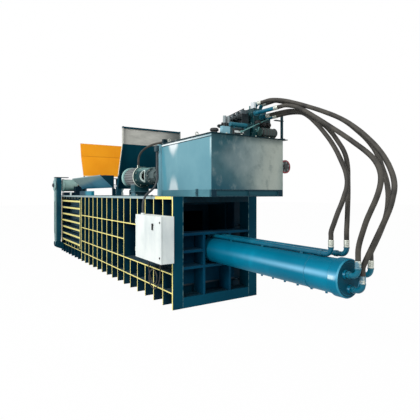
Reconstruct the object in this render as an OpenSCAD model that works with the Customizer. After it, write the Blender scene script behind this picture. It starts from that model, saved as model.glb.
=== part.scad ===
// Horizontal channel baler with a ribbed press body, a feed hopper, a long main cylinder
// and an oil tank on the deck. Millimetres, +Z up, +X towards the main cylinder.

/* [Press body] */
// Overall width of the ribbed body
body_w = 1670; // [1600:10:1800]
// Length of the body from the cylinder end to the bale exit
body_len = 7570; // [7500:10:7900]
// Height of the deck above the floor
deck_h = 1750; // [1720:5:1850]
// Clear width of the bale channel
channel_w = 1110; // [1060:10:1160]
// Clear height of the bale channel
channel_h = 1350; // [1300:5:1360]
// Height of the channel floor
floor_h = 300; // [280:5:320]
// Thickness of the channel side walls
wall_t = 20; // [12:1:30]
// Thickness of the channel floor plate
floor_t = 30; // [20:1:40]
// Thickness of the channel roof plate
roof_t = 30; // [20:1:40]
// Thickness of the deck plate
deck_t = 15; // [10:1:20]
// Height of the deck's edge bar
edge_h = 45; // [30:5:60]

/* [Ribs] */
// Length of the ribbed part of the body
rib_zone = 5230; // [5200:10:5300]
// Number of rib pitches along that part
rib_gaps = 15; // [14:1:16]
// Thickness of a rib plate
rib_t = 20; // [12:1:24]
// Height of the lowest stringer
stringer_1 = 250; // [200:5:300]
// Height of the second stringer
stringer_2 = 545; // [500:5:600]
// Height of the third stringer
stringer_3 = 900; // [850:5:950]
// Height of the top stringer
stringer_4 = 1225; // [1180:5:1260]
// Rib pitches that the cabinet pocket spans
pocket_gaps = 6; // [5:1:7]

/* [End frame] */
// Width of an end post
post_w = 185; // [150:5:220]
// Depth of the end frame
post_d = 250; // [200:5:280]
// Thickness of the end post plates
post_t = 30; // [20:1:40]
// Height of the bottom sill
sill_h = 165; // [120:5:190]
// Depth of the top header
header_h = 95; // [70:5:95]
// Thickness of the reaction grid plates
grid_t = 40; // [30:2:50]
// Half the clear width of the cylinder window
window_half = 236; // [230:2:260]
// Height of the cylinder window's lower plate
grid_low = 620; // [600:5:630]
// Height of the small plates beside the window
grid_mid = 880; // [820:5:940]
// Height of the cylinder window's upper plate
grid_top = 1150; // [1150:5:1200]

/* [Main cylinder] */
// Height of the cylinder axis
axis_h = 860; // [855:1:870]
// Reach of the cylinder beyond the end frame
cyl_reach = 2570; // [2500:10:2700]
// Outside diameter of the barrel
barrel_d = 400; // [380:2:410]
// Bore of the barrel
bore_d = 320; // [300:2:330]
// Diameter of the piston rod
rod_d = 220; // [180:2:240]
// Diameter of the end cap
cap_d = 440; // [430:2:460]
// Length of the end cap
cap_len = 130; // [100:5:160]
// Thickness of the cylinder mount plate
mount_t = 80; // [60:2:100]
// Stroke of the ram
stroke = 2450; // [2300:10:2450]
// Radial clearance of a running fit
fit = 0.05; // [0.02:0.01:0.1]
// Outside diameter of the steel oil pipes
pipe_d = 60; // [50:1:60]
// Bend radius of the pipes and elbows
bend_r = 75; // [70:1:80]
// Outside diameter of the pressure hoses
hose_d = 58; // [48:1:60]
// Outside diameter of a hose ferrule
ferrule_d = 66; // [64:1:76]
// Length of a hose ferrule
ferrule_len = 85; // [70:1:100]

/* [Ram] */
// Gap between the ram and the channel walls
ram_gap = 10; // [6:1:14]
// Distance of the ram face from the end frame at rest
ram_face = 2950; // [2900:10:2970]
// Length of the ram body
ram_len = 2440; // [2350:10:2440]
// Thickness of the ram face plate
face_t = 60; // [40:2:80]
// Thickness of the ram side plates
ram_t = 30; // [20:2:40]

/* [Hopper] */
// Distance of the hopper's rear edge from the end frame
hopper_rear = 3000; // [2990:10:3050]
// Inset of the hopper end walls from the sides of the body
hopper_in = 148; // [120:1:180]
// Height of the bend in the end walls
hopper_bend = 2850; // [2750:10:2950]
// Height of the hopper's top edge
hopper_top = 3220; // [3100:10:3300]
// Outward lean of the rear wall up to its bend
rear_lean = 410; // [350:10:420]
// Outward lean of the front wall up to its bend
front_lean = 520; // [450:10:560]
// Thickness of the hopper plates
hopper_t = 14; // [8:1:20]
// Height of the side flares' outer edge
flare_top = 2190; // [2150:10:2230]
// Height of the front wall's lower edge above the deck
front_rise = 530; // [400:10:600]
// Height of the rear wall's lower edge above the deck
rear_rise = 155; // [100:5:180]

/* [Oil tank] */
// Length of the tank
tank_len = 1630; // [1500:10:1700]
// Width of the tank
tank_w = 1360; // [1280:10:1380]
// Height of the tank above its base frame
tank_h = 790; // [700:10:850]
// Height of the base frame
base_h = 105; // [80:5:120]
// Overhang of the tank beyond the end frame
tank_out = 780; // [740:10:800]
// Sideways offset of the tank from the middle
tank_side = 40; // [0:5:40]
// Thickness of the tank lid
lid_t = 12; // [8:1:16]
// Overhang of the lid on three sides
lid_lip = 20; // [10:1:30]
// Overhang of the lid on the far side
lid_far = 90; // [80:5:130]

/* [Motor and pump] */
// Sideways place of the motor axis
motor_y = -600; // [-610:5:-590]
// Height of the motor axis above the deck
motor_h = 370; // [350:5:390]
// Outside diameter of the motor cowl
motor_d = 410; // [380:5:430]
// Diameter of the drive shaft
shaft_d = 70; // [50:1:80]

/* [Control cabinet] */
// Width of the cabinet
cab_w = 970; // [900:10:980]
// Height of the cabinet
cab_h = 710; // [680:10:740]
// Height of the cabinet's underside
cab_z = 740; // [720:5:760]
// Depth of the cabinet with its door
cab_d = 220; // [200:5:230]
// Thickness of the cabinet sheet
cab_t = 4; // [2:0.5:5]
// Thickness of the door
door_t = 25; // [20:1:30]

/* [Bale chamber] */
// Number of bars on each side panel
bar_count = 7; // [6:1:7]
// Thickness of a side bar
bar_t = 46; // [40:2:60]
// Height of the lowest bar
bar_low = 400; // [390:5:420]
// Pitch of the bars
bar_pitch = 197; // [190:1:199]
// Diameter of the panel hinge pins
hinge_d = 50; // [40:1:56]
// Diameter of the arm pins
arm_pin_d = 80; // [60:1:90]
// Height of the arm pivot
pivot_z = 260; // [240:5:270]
// Height of the cross cylinder
cross_z = 2060; // [2040:5:2100]
// Outside diameter of the cross cylinder
drum_d = 370; // [300:5:370]

/* [Hidden] */
$fn = 48;
half_w = body_w / 2;
half_c = channel_w / 2;
wall_out = half_c + wall_t;
roof_z = floor_h + channel_h;
rib_top = deck_h - deck_t;
pitch = rib_zone / rib_gaps;
ribs_end = rib_zone + rib_t / 2;
levels = [stringer_1, stringer_2, stringer_3, stringer_4];
post_in = half_w - post_w;
grid_back = -post_d - 50;
web_t = 15;
barrel_r = barrel_d / 2;
seat = 0.3;

// Main cylinder stations along X
mount_back = grid_back - mount_t;
gland_len = 60;
cap_face = cyl_reach;
barrel_end = cap_face - cap_len;
piston_len = 200;
piston_x = barrel_end - 20 - piston_len;

// Oil ports in the cap face as [y, height], and the elbows on them
ports = [[-70, 55], [10, -115], [150, 40]];
boss_len = 25;
nut_len = 55;
elbow_x = cap_face + boss_len + nut_len + bend_r;
collar = 10;
collar_rise = 8;
nut_d = 84;

// Return pipes as [y, x of the upright end]
pipe_z = axis_h + 235;
pipes = [[-20, 2332], [120, 2437]];

// Tank and lid stations
tank_x1 = tank_out;
tank_x0 = tank_out - tank_len;
tank_y0 = tank_side - tank_w / 2;
tank_y1 = tank_side + tank_w / 2;
tank_z = deck_h + base_h;
lid_z = tank_z + tank_h;
lid_top = lid_z + lid_t;

// Motor and pump stations along X, led back from the tank's rear wall
motor_z = deck_h + motor_h;
pump_x = tank_x0 - 370;
bell_x = pump_x - 450;
flange_x = bell_x - 30;
motor_x0 = flange_x - 630;
body_r = motor_d / 2 - 32;
rail_h = 100;
foot_x0 = flange_x - 260;

// Ends of the leakage hose, on the motor flange and on the lid
hose_x = flange_x + 6;
hose_y = motor_y - 90;
line_y = -560;
line_z = lid_top + 48;

// Valve block stations, above the lid
block_x0 = 330;
block_x1 = 620;
block_y0 = 255;
block_y1 = 640;
block_top = lid_top + 473;
riser_x = block_x1 - 60;
riser_z = block_top + bend_r;
// Outlets on the block face as [y, height above the lid, reach]
outlets = [[290, 393, 430], [400, 343, 140], [540, 343, 140]];
risers = [330, 440];

// Hopper stations
throat_front = ribs_end;
hopper_w = body_w - 2 * hopper_in;

// Chamber and arm stations
hinge_x = -ribs_end - 60;
hinge_y = wall_out + 45;
panel_gap = 6;
panel_x1 = -ribs_end - 10;
panel_x0 = -body_len + 70;
arm_x = -body_len + 200;
arm_w = 170;
box_x = -body_len + 520;
eye_x = -body_len + 1030;
arm_in = half_w + 65;
arm_out = half_w + 250;
arm_y = (arm_in + arm_out) / 2;
arm_top = cross_z + 240;
slot_w = 112;
eye_w = 100;
eye_d = 150;
stub_out = arm_out + 65;

// The origin stands under the middle of the machine, cords left out
reach_x = elbow_x + (pipe_d + collar_rise) / 2;
shift_x = (body_len - reach_x) / 2;

// Hose and cable routes
cap_hose_top_path = [
    [1135, 290, 3050], [1250, 290, 3050], [1570, 275, 2950], [2170, 210, 2590], [2550, 140, 2350],
    [2790, 80, 2180], [2905, 40, 2030], [2930, 10, 1890], [2895, -20, 1725], [2815, -50, 1520],
    [2740, -68, 1270], [2725, -70, 1160], [2725, -70, 1085]];
cap_hose_low_path = [
    [720, 330, 3205], [900, 330, 3205], [1210, 325, 3135], [1700, 305, 2950], [2260, 265, 2690],
    [2640, 220, 2415], [2880, 175, 2160], [3000, 135, 1930], [3010, 100, 1760], [2965, 65, 1565],
    [2790, 16, 1150], [2725, 10, 1000], [2725, 10, 915]];
cap_hose_far_path = [
    [720, 440, 3205], [900, 440, 3205], [1200, 435, 3115], [1600, 425, 2980], [2155, 400, 2720],
    [2590, 345, 2365], [2760, 300, 2090], [2860, 255, 1835], [2870, 205, 1560], [2775, 162, 1270],
    [2725, 150, 1150], [2725, 150, 1070]];
pipe_hose_left_path = [
    [845, 400, 3000], [1000, 400, 3000], [1270, 398, 2985], [1510, 390, 2910], [1755, 360, 2745],
    [2115, 280, 2400], [2400, 170, 2000], [2425, 100, 1780], [2385, 35, 1580], [2332, -20, 1345],
    [2332, -20, 1265]];
pipe_hose_right_path = [
    [845, 540, 3000], [1000, 540, 3000], [1200, 530, 2985], [1420, 508, 2935], [1660, 480, 2810],
    [1920, 440, 2630], [2240, 350, 2275], [2340, 272, 1960], [2405, 180, 1620], [2437, 120, 1350],
    [2437, 120, 1265]];
pump_hose_path = [
    [hose_x, hose_y, motor_z + 222], [hose_x, hose_y, motor_z + 280],
    [hose_x + 14, hose_y + 2, motor_z + 360], [hose_x + 79, hose_y + 10, motor_z + 445],
    [hose_x + 204, hose_y + 30, line_z - 75], [hose_x + 364, hose_y + 60, line_z - 30],
    [hose_x + 534, line_y - 35, line_z - 5], [hose_x + 684, line_y - 8, line_z],
    [tank_x0 - 95, line_y, line_z], [tank_x0 - 30, line_y, line_z]];
conduit_path = [
    [-810, -717, 2525], [-810, -717, 2440], [-808, -717, 2330], [-805, -717, 2210],
    [-800, -717, 2080], [-793, -734, 1984], [-785, -783, 1900], [-777, -859, 1836],
    [-770, -936, 1773], [-764, -984, 1688], [-760, -1000, 1593], [-760, -1000, 1475]];
cable_path = [
    [-520, -1000, 720], [-520, -1000, 640], [-496, -1000, 530], [-436, -1001, 432],
    [-340, -1004, 376], [-240, -1008, 398], [-190, -1012, 480], [-226, -1016, 570],
    [-324, -1020, 600], [-420, -1024, 545], [-446, -1027, 440], [-386, -1028, 345],
    [-270, -1024, 310], [-164, -1014, 366], [-110, -1004, 480], [-100, -1000, 610],
    [-100, -1000, 720]];
pump_hose_d = 40;
conduit_d = 38;
cable_d = 18;

// Paint and metal colours
teal = [0.02, 0.22, 0.28];
sky = [0.10, 0.45, 0.58];
pale = [0.52, 0.68, 0.72];
cream = [0.88, 0.90, 0.87];
orange = [0.93, 0.62, 0.12];
steel = [0.72, 0.74, 0.74];
rubber = [0.20, 0.20, 0.19];

// Moves every piece into the machine's own frame
module machine() {
    translate([shift_x, 0, 0]) children();
}

// A plate or bar between two corners
module block(low, high) {
    translate(low) cube(high - low);
}

// Round bars along each axis
module bar_x(x0, x1, y, z, d) {
    translate([x0, y, z]) rotate([0, 90, 0]) cylinder(d = d, h = x1 - x0);
}

module bar_y(y0, y1, x, z, d) {
    translate([x, y0, z]) rotate([-90, 0, 0]) cylinder(d = d, h = y1 - y0);
}

module bar_z(z0, z1, x, y, d) {
    translate([x, y, z0]) cylinder(d = d, h = z1 - z0);
}

// A flat outline in Y and Z, pushed along X
module cross_plate(x0, x1, outline) {
    translate([x0, 0, 0]) rotate([90, 0, 90]) linear_extrude(x1 - x0) polygon(outline);
}

// A flat outline in X and Z, pushed along Y
module long_plate(y0, y1, outline) {
    translate([0, y1, 0]) rotate([90, 0, 0]) linear_extrude(y1 - y0) polygon(outline);
}

module both_sides() {
    children();
    mirror([0, 1, 0]) children();
}

// Quarter bends of round pipe that start at the local origin
module bend_up(d) {
    translate([0, 0, bend_r]) rotate([90, 0, 0]) rotate([0, 0, -90])
        rotate_extrude(angle = 90) translate([bend_r, 0]) circle(d = d);
}

module bend_over(d) {
    translate([bend_r, 0, 0]) rotate([90, 0, 0]) rotate([0, 0, 90])
        rotate_extrude(angle = 90) translate([bend_r, 0]) circle(d = d);
}

// A round cord swept along its route, with a ring at each point and one between the points
function unit(v) = v / norm(v);
function heading(p, i) =
    unit(i == 0 ? p[1] - p[0] : i == len(p) - 1 ? p[i] - p[i - 1] : p[i + 1] - p[i - 1]);
function ring(p, i, d, sides, across) =
    let (t = heading(p, i), a = unit(cross(t, across)), b = cross(t, a))
    [for (k = [0 : sides - 1])
        p[i] + d / 2 * (cos(360 * k / sides) * a + sin(360 * k / sides) * b)];

function woven(p) = [
    for (i = [0 : len(p) - 2]) each [p[i], i == 0 || i == len(p) - 2 ? (p[i] + p[i + 1]) / 2
        : (9 * (p[i] + p[i + 1]) - p[i - 1] - p[i + 2]) / 16],
    p[len(p) - 1]];

module cord(route, d, sides, across) {
    p = woven(route);
    n = len(p);
    points = [for (i = [0 : n - 1]) each ring(p, i, d, sides, across)];
    walls = [for (i = [0 : n - 2], k = [0 : sides - 1])
        let (j = (k + 1) % sides)
        each [[i * sides + k, i * sides + j, i * sides + sides + j],
              [i * sides + k, i * sides + sides + j, i * sides + sides + k]]];
    start = [for (k = [sides - 1 : -1 : 0]) k];
    end = [for (k = [0 : sides - 1]) (n - 1) * sides + k];
    polyhedron(points, concat(walls, [start, end]));
}

// Channel floor: one long plate under the bale
module floor_plate() {
    color(steel) machine()
        block([-body_len, -wall_out, floor_h - floor_t], [grid_back, wall_out, floor_h]);
}

// Welded grid of cross beams and runners that carries the floor and stands on the ground
module floor_beams() {
    under = floor_h - floor_t;
    last = floor((body_len - 320) / pitch);
    color(teal) machine() {
        block([-post_d, -post_in, 0], [0, post_in, sill_h]);
        for (i = [1 : last]) {
            reach = i <= rib_gaps ? wall_out : half_w;
            block([-i * pitch - rib_t / 2, -reach, 0], [-i * pitch + rib_t / 2, reach, under]);
        }
        both_sides() {
            block([-body_len, 280, 0], [-post_d, 300, under]);
            block([-body_len, wall_out, under - rib_t], [-ribs_end - rib_t, half_w, under]);
            block([-body_len, half_w - rib_t, 40], [-body_len + 300, half_w, under]);
            for (i = [rib_gaps + 1 : last])
                block([-i * pitch - rib_t / 2, wall_out + 40, under - 5],
                    [-i * pitch + rib_t / 2, half_w, under + 85]);
        }
        for (x = [-body_len, -body_len + 280])
            block([x, -half_w, 0], [x + rib_t, half_w, under]);
    }
}

module side_wall() {
    block([-ribs_end, -wall_out, floor_h], [grid_back, -half_c, rib_top - 2]);
}

// Upright ribs crossed by flat stringers, on the left side
module rib_lattice(ribs, x0, x1, z0, z1, rows) {
    for (i = ribs)
        block([-i * pitch - rib_t / 2, -half_w, z0], [-i * pitch + rib_t / 2, -wall_out, z1]);
    for (z = rows)
        block([x0, -half_w, z - rib_t / 2], [x1, -wall_out, z + rib_t / 2]);
}

module deck_edge(x0, x1) {
    block([x0, -half_w, deck_h - edge_h], [x1, -half_w + deck_t, deck_h]);
}

module deck_strip(x0, x1) {
    block([x0, -half_w, rib_top], [x1, -wall_out, deck_h]);
    deck_edge(x0, x1);
}

// Stringers and deck strip carried on to the end post, past the post's inner web
module corner_rows(rows) {
    for (z = rows)
        block([grid_back - 20, -half_w, z - rib_t / 2], [-post_t, -post_in - web_t, z + rib_t / 2]);
}

module corner_strip() {
    block([-post_d - 20, -half_w, rib_top], [-post_t, -post_in - web_t, deck_h]);
    deck_edge(-post_d - 20, -post_t);
}

// Left channel wall: a plain plate behind the ribs
module left_wall() {
    color(teal) machine() side_wall();
}

pocket_x = -pocket_gaps * pitch + rib_t / 2;

// Left ribs from the pocket to the bale chamber, with the hinge lugs of the side panel
module left_ribs_front() {
    color(teal) machine() {
        rib_lattice([pocket_gaps : rib_gaps], -ribs_end, pocket_x, 0, rib_top, levels);
        deck_strip(-ribs_end, pocket_x);
        block([-ribs_end - 235, -half_w + 20, deck_h], [-ribs_end + 870, -half_w + 90, deck_h + 115]);
        fixed_hinges();
    }
}

// Left ribs under the cabinet pocket, with the pocket's shelf on top
module left_ribs_low() {
    color(teal) machine() {
        rib_lattice([1 : pocket_gaps - 1], pocket_x, grid_back, 0, stringer_2 + rib_t / 2,
            [stringer_1, stringer_2]);
        corner_rows([stringer_1, stringer_2]);
    }
}

// Left ribs above the cabinet pocket
module left_ribs_high() {
    color(teal) machine() {
        rib_lattice([1 : pocket_gaps - 1], pocket_x, grid_back, stringer_4 - rib_t / 2, rib_top,
            [stringer_4]);
        deck_strip(pocket_x, -post_d);
        corner_rows([stringer_4]);
        corner_strip();
    }
}

// Right wall and ribs, welded as one side
module right_side() {
    color(teal) machine() mirror([0, 1, 0]) {
        side_wall();
        rib_lattice([1 : rib_gaps], -ribs_end, grid_back, 0, rib_top, levels);
        deck_strip(-ribs_end, -post_d);
        corner_rows(levels);
        corner_strip();
        fixed_hinges();
    }
}

// Lifting eye welded on the deck, with its hole along Y
lug_r = 45;
lug_hole = 30;
module lifting_eye(x, y) {
    difference() {
        union() {
            block([x - lug_r, y - 15, deck_h], [x + lug_r, y + 15, deck_h + 60]);
            bar_y(y - 15, y + 15, x, deck_h + 60, 2 * lug_r);
        }
        bar_y(y - 16, y + 16, x, deck_h + 60, 2 * lug_hole);
    }
}

// Rear roof: channel roof, cross ribs and deck plate, with the header over the end window
module rear_deck() {
    color(teal) machine() {
        block([-post_d, -post_in, deck_h - header_h], [0, post_in, deck_h]);
        block([-hopper_rear, -half_c, roof_z], [-post_d, half_c, roof_z + roof_t]);
        block([-hopper_rear, -wall_out, rib_top], [-post_d, wall_out, deck_h]);
        for (i = [1 : floor(hopper_rear / pitch)])
            block([-i * pitch - rib_t / 2, -half_c, roof_z], [-i * pitch + rib_t / 2, half_c, rib_top]);
        block([-hopper_rear, -half_c, roof_z], [-hopper_rear + rib_t, half_c, rib_top]);
    }
}

// Front roof over the bale chamber, with its open rib ends and lifting eyes
module front_deck() {
    roof_w = wall_out + 20;
    color(teal) machine() {
        block([-body_len, -roof_w, roof_z], [-ribs_end, roof_w, roof_z + roof_t]);
        block([-body_len, -half_w, rib_top], [-ribs_end, half_w, deck_h]);
        for (x = [-body_len : (body_len - ribs_end - rib_t) / 7 : -ribs_end - rib_t + 1])
            block([x, -half_w, roof_z], [x + rib_t, half_w, rib_top]);
        both_sides() {
            deck_edge(-body_len, -ribs_end);
            lifting_eye(eye_x, half_w - 40);
        }
    }
}

// Corner posts of the cylinder end: a face plate with a deep web along its inner edge
module end_post() {
    block([-post_t, -half_w, 0], [0, -post_in, deck_h]);
    block([-post_d, -post_in - web_t, 0], [0, -post_in, deck_h]);
}

module left_end_post() {
    color(teal) machine() end_post();
}

module right_end_post() {
    color(teal) machine() mirror([0, 1, 0]) end_post();
}

// Flat posts at the bale exit, and on the roof the rest and valve box of the cross cylinder
module exit_posts() {
    rest_top = cross_z - drum_d / 2 - 30;
    color(teal) machine() {
        both_sides()
            block([-body_len, -half_w, floor_h - floor_t], [panel_x0 - 10, -wall_out - 15, roof_z]);
        block([arm_x - 150, -half_w + 5, deck_h], [arm_x + 150, -half_w + 380, rest_top]);
        block([box_x - 90, -575, deck_h], [box_x + 130, -205, deck_h + 20]);
        block([box_x - 75, -560, deck_h + 15], [box_x + 115, -220, deck_h + 255]);
        block([box_x - 82, -567, deck_h + 250], [box_x + 122, -213, deck_h + 270]);
    }
}

// Crossed thrust plates in the end frame, open in the middle for the cylinder
module reaction_grid() {
    x0 = grid_back;
    x1 = -10;
    half_t = grid_t / 2;
    color(teal) machine() {
        both_sides() {
            block([x0, window_half, sill_h], [x1, window_half + grid_t, grid_top + half_t]);
            block([x0, window_half, grid_mid - half_t], [x1, post_in, grid_mid + half_t]);
        }
        for (z = [grid_low, grid_top])
            block([x0, -post_in, z - half_t], [x1, post_in, z + half_t]);
    }
}

// Thick plate that takes the thrust of the cylinder
module cylinder_mount_plate() {
    color(teal) machine() difference() {
        block([mount_back, -half_c, floor_h], [mount_back + mount_t, half_c, grid_top]);
        bar_x(mount_back - 1, mount_back + mount_t + 1, 0, axis_h, barrel_d + 2 * fit);
    }
}

// Honed cylinder tube with its shoulder and the weld ring near the cap
module cylinder_barrel() {
    shoulder = mount_back + mount_t;
    color(sky) machine() difference() {
        union() {
            bar_x(mount_back, barrel_end, 0, axis_h, barrel_d);
            bar_x(shoulder, shoulder + 40, 0, axis_h, barrel_d + 30);
            bar_x(barrel_end - 370, barrel_end - 356, 0, axis_h, barrel_d + 12);
            for (i = [0 : 5])
                bar_z(axis_h - barrel_r - 26, axis_h, barrel_end * (0.455 + 0.0935 * i), 0, 30);
        }
        bar_x(mount_back - 1, barrel_end + 1, 0, axis_h, bore_d);
    }
}

// Gland that guides the rod, bolted behind the mount plate
module cylinder_gland() {
    color(steel) machine() difference() {
        union() {
            bar_x(mount_back - gland_len, mount_back, 0, axis_h, barrel_d + 100);
            bar_x(mount_back, mount_back + gland_len, 0, axis_h, bore_d - 2 * fit);
            for (a = [0 : 30 : 330])
                translate([mount_back - gland_len, 225 * cos(a), axis_h + 225 * sin(a)])
                    rotate([0, -90, 0]) cylinder(d = 36, h = 20, $fn = 6);
        }
        bar_x(mount_back - gland_len - 1, mount_back + gland_len + 1, 0, axis_h, rod_d + 2 * fit);
    }
}

// End cap with a turned rim and three port bosses
module cylinder_cap() {
    color(sky) machine() {
        translate([barrel_end, 0, axis_h]) rotate([0, 90, 0]) rotate_extrude()
            polygon([[0, 0], [cap_d / 2 - 8, 0], [cap_d / 2, 8], [cap_d / 2, cap_len - 14],
                [cap_d / 2 - 14, cap_len], [cap_d / 2 - 34, cap_len], [cap_d / 2 - 40, cap_len - 6],
                [0, cap_len - 6]]);
        for (p = ports)
            bar_x(cap_face - 6, cap_face + boss_len, p[0], axis_h + p[1], nut_d + 16);
    }
}

// Two steel pipes on top of the barrel, with their saddles and port blocks
module return_pipes() {
    color(sky) machine() difference() {
        union() {
            for (p = pipes) {
                bar_x(-180, p[1] - bend_r, p[0], pipe_z, pipe_d);
                translate([p[1] - bend_r, p[0], pipe_z]) bend_up(pipe_d);
                bar_z(pipe_z + bend_r, pipe_z + bend_r + collar, p[1], p[0], pipe_d + collar_rise);
                bar_x(p[1] - bend_r - 90, p[1] - bend_r - 50, p[0], pipe_z, pipe_d + 14);
                block([-255, p[0] - 45, axis_h + 100], [-170, p[0] + 45, pipe_z + 33]);
            }
            for (i = [0 : 2])
                translate([barrel_end * (0.17 + 0.3 * i), 0, 0])
                    block([0, -46, axis_h + 100], [42, 146, pipe_z - 10]);
        }
        bar_x(-300, barrel_end, 0, axis_h, barrel_d + 2 * seat);
    }
}

// Steel elbows that turn the cap ports upwards
module port_elbows() {
    color(sky) machine() for (p = ports) {
        z = axis_h + p[1];
        translate([cap_face + boss_len, p[0], z]) rotate([0, 90, 0])
            cylinder(d = nut_d, h = nut_len - 20, $fn = 6);
        bar_x(cap_face + boss_len, elbow_x - bend_r, p[0], z, pipe_d);
        translate([elbow_x - bend_r, p[0], z]) bend_up(pipe_d);
        bar_z(z + bend_r, z + bend_r + collar, elbow_x, p[0], pipe_d + collar_rise);
    }
}

// Pressure hoses between the valve block and the cylinder
module cap_hose_top() {
    color(rubber) machine() cord(cap_hose_top_path, hose_d, 10, [0, 1, 0]);
}

module cap_hose_low() {
    color(rubber) machine() cord(cap_hose_low_path, hose_d, 10, [0, 1, 0]);
}

module cap_hose_far() {
    color(rubber) machine() cord(cap_hose_far_path, hose_d, 10, [0, 1, 0]);
}

module pipe_hose_left() {
    color(rubber) machine() cord(pipe_hose_left_path, hose_d, 10, [0, 1, 0]);
}

module pipe_hose_right() {
    color(rubber) machine() cord(pipe_hose_right_path, hose_d, 10, [0, 1, 0]);
}

// Pressed steel ferrules at both ends of each hose
module hose_ferrules() {
    color(steel) machine() {
        for (p = ports) {
            z = axis_h + p[1] + bend_r + collar;
            bar_z(z, z + ferrule_len, elbow_x, p[0], ferrule_d);
        }
        for (p = pipes) {
            z = pipe_z + bend_r + collar;
            bar_z(z, z + ferrule_len, p[1], p[0], ferrule_d);
        }
        for (o = outlets)
            bar_x(block_x1 + o[2], block_x1 + o[2] + ferrule_len, o[0], lid_top + o[1], ferrule_d);
        for (y = risers)
            bar_x(riser_x + bend_r, riser_x + bend_r + ferrule_len, y, riser_z, ferrule_d);
    }
}

// Rear hopper wall on two side legs: leans out, then stands upright in a top band
module hopper_rear_wall() {
    x = -hopper_rear;
    lean = rear_lean;
    t = hopper_t;
    z0 = deck_h + rear_rise;
    x0 = x + lean * rear_rise / (hopper_bend - deck_h);
    color(teal) machine() {
        long_plate(-hopper_w / 2, hopper_w / 2, [[x0, z0], [x + lean, hopper_bend],
            [x + lean, hopper_top], [x + lean + t, hopper_top], [x + lean + t, hopper_bend],
            [x0 + t, z0]]);
        both_sides() long_plate(hopper_w / 2 - t, hopper_w / 2, [[x + t, deck_h],
            [x + lean + t, hopper_bend], [x + lean + t, hopper_top], [x + lean + 70, hopper_top],
            [x + lean + 70, hopper_bend - 20], [x + 90, deck_h]]);
        block([x + lean, -hopper_w / 2, hopper_top - 34], [x + lean + 34, hopper_w / 2, hopper_top]);
    }
}

// Front hopper wall, leaning the other way on two side legs, open below for long pieces
module hopper_front_wall() {
    x = -throat_front;
    lean = front_lean;
    t = hopper_t;
    z0 = deck_h + front_rise;
    x0 = x - lean * front_rise / (hopper_bend - deck_h);
    color(orange) machine() {
        long_plate(-hopper_w / 2, hopper_w / 2, [[x0, z0], [x - lean, hopper_bend],
            [x - lean - 90, hopper_top], [x - lean - 90 - t, hopper_top], [x - lean - t, hopper_bend],
            [x0 - t, z0]]);
        block([x0 - 50, -hopper_w / 2, z0], [x0 - 4, hopper_w / 2, z0 + t]);
        both_sides() long_plate(hopper_w / 2 - t, hopper_w / 2, [[x, deck_h],
            [x - lean, hopper_bend], [x - lean - 90, hopper_top],
            [x - lean - 150, hopper_top], [x - lean - 65, hopper_bend - 20], [x - 90, deck_h]]);
    }
}

// Low side flare on two short legs, with a corner plate towards the rear wall
module side_flare() {
    in_y = half_w - 130;
    out_y = half_w + 150;
    low = deck_h + 180;
    t = hopper_t;
    x0 = -throat_front - 340;
    x1 = -hopper_rear - 90;
    cross_plate(x0, x1, [[-in_y, low], [-out_y, flare_top], [-out_y, flare_top + t * 1.4],
        [-in_y + t, low + t]]);
    for (x = [x0, x1 - 12])
        cross_plate(x, x + 12, [[-in_y + 60, deck_h], [-in_y - 20, deck_h],
            [-in_y - 24, low + 30], [-in_y, low + t / 2], [-in_y + 60, low - 30]]);
    cross_plate(x1 - 12, x1, [[-out_y, flare_top], [-out_y + 60, flare_top + t],
        [-hopper_w / 2, flare_top + t], [-hopper_w / 2, low], [-in_y, low]]);
}

module left_flare() {
    color(pale) machine() side_flare();
}

module right_flare() {
    color(pale) machine() mirror([0, 1, 0]) side_flare();
}

// Channel section rail with its web set back between the flanges
module channel_rail_x(y, face) {
    block([tank_x0, y, deck_h], [tank_x1, y + 90, deck_h + 12]);
    block([tank_x0, y, tank_z - 12], [tank_x1, y + 90, tank_z]);
    block([tank_x0, y + face, deck_h], [tank_x1, y + face + 10, tank_z]);
}

// Welded channel frame under the tank
module tank_base() {
    color(pale) machine() {
        channel_rail_x(tank_y0, 0);
        channel_rail_x(tank_side - 45, 40);
        channel_rail_x(tank_y1 - 90, 80);
        for (x = [tank_x0, tank_x0 + tank_len / 2, tank_x1 - 40])
            block([x, tank_y0 + 10, deck_h], [x + 12, tank_y1 - 10, tank_z]);
        for (y = [tank_y0, tank_y1 - 90])
            block([tank_x1 - 60, y, deck_h], [tank_x1, y + 90, tank_z]);
        block([tank_x1 - 60, tank_y0, deck_h], [tank_x1, tank_y1, deck_h + 12]);
        block([tank_x1 - 60, tank_y0, tank_z - 12], [tank_x1, tank_y1, tank_z]);
        block([tank_x1 - 400, tank_y0 - 16, deck_h + 10], [tank_x1 - 350, tank_y0, tank_z + 10]);
        bar_y(tank_y0 - 32, tank_y0 - 16, tank_x1 - 375, deck_h + 60, 26);
    }
}

// Welded oil tank with a cable duct and its outlet box on the rear corner
module oil_tank() {
    color(pale) machine() {
        block([tank_x0, tank_y0, tank_z], [tank_x1, tank_y1, lid_z]);
        block([tank_x0, tank_y0 - 50, deck_h], [tank_x0 + 70, tank_y0, lid_z]);
        block([tank_x0, tank_y0 - 110, lid_z - 120], [tank_x0 + 80, tank_y0 - 40, lid_z - 20]);
    }
}

// Tank lid with the hose post at its far corner
post_x = tank_x1 - 40;
post_y = tank_y1 + 15;
module tank_lid() {
    color(teal) machine() {
        block([tank_x0 - lid_lip, tank_y0 - lid_lip, lid_z],
            [tank_x1 + lid_lip, tank_y1 + lid_far, lid_top]);
        bar_z(lid_top, lid_top + 400, post_x, post_y, 45);
        bar_z(lid_top, lid_top + 12, post_x, post_y, 110);
        block([post_x - 25, post_y - 150, lid_top + 290], [post_x + 25, post_y + 20, lid_top + 302]);
        block([tank_x0, line_y - 40, lid_top], [tank_x0 + 60, line_y + 40, lid_top + 90]);
        bar_x(tank_x0 - 30, tank_x0, line_y, line_z, 46);
    }
}

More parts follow.
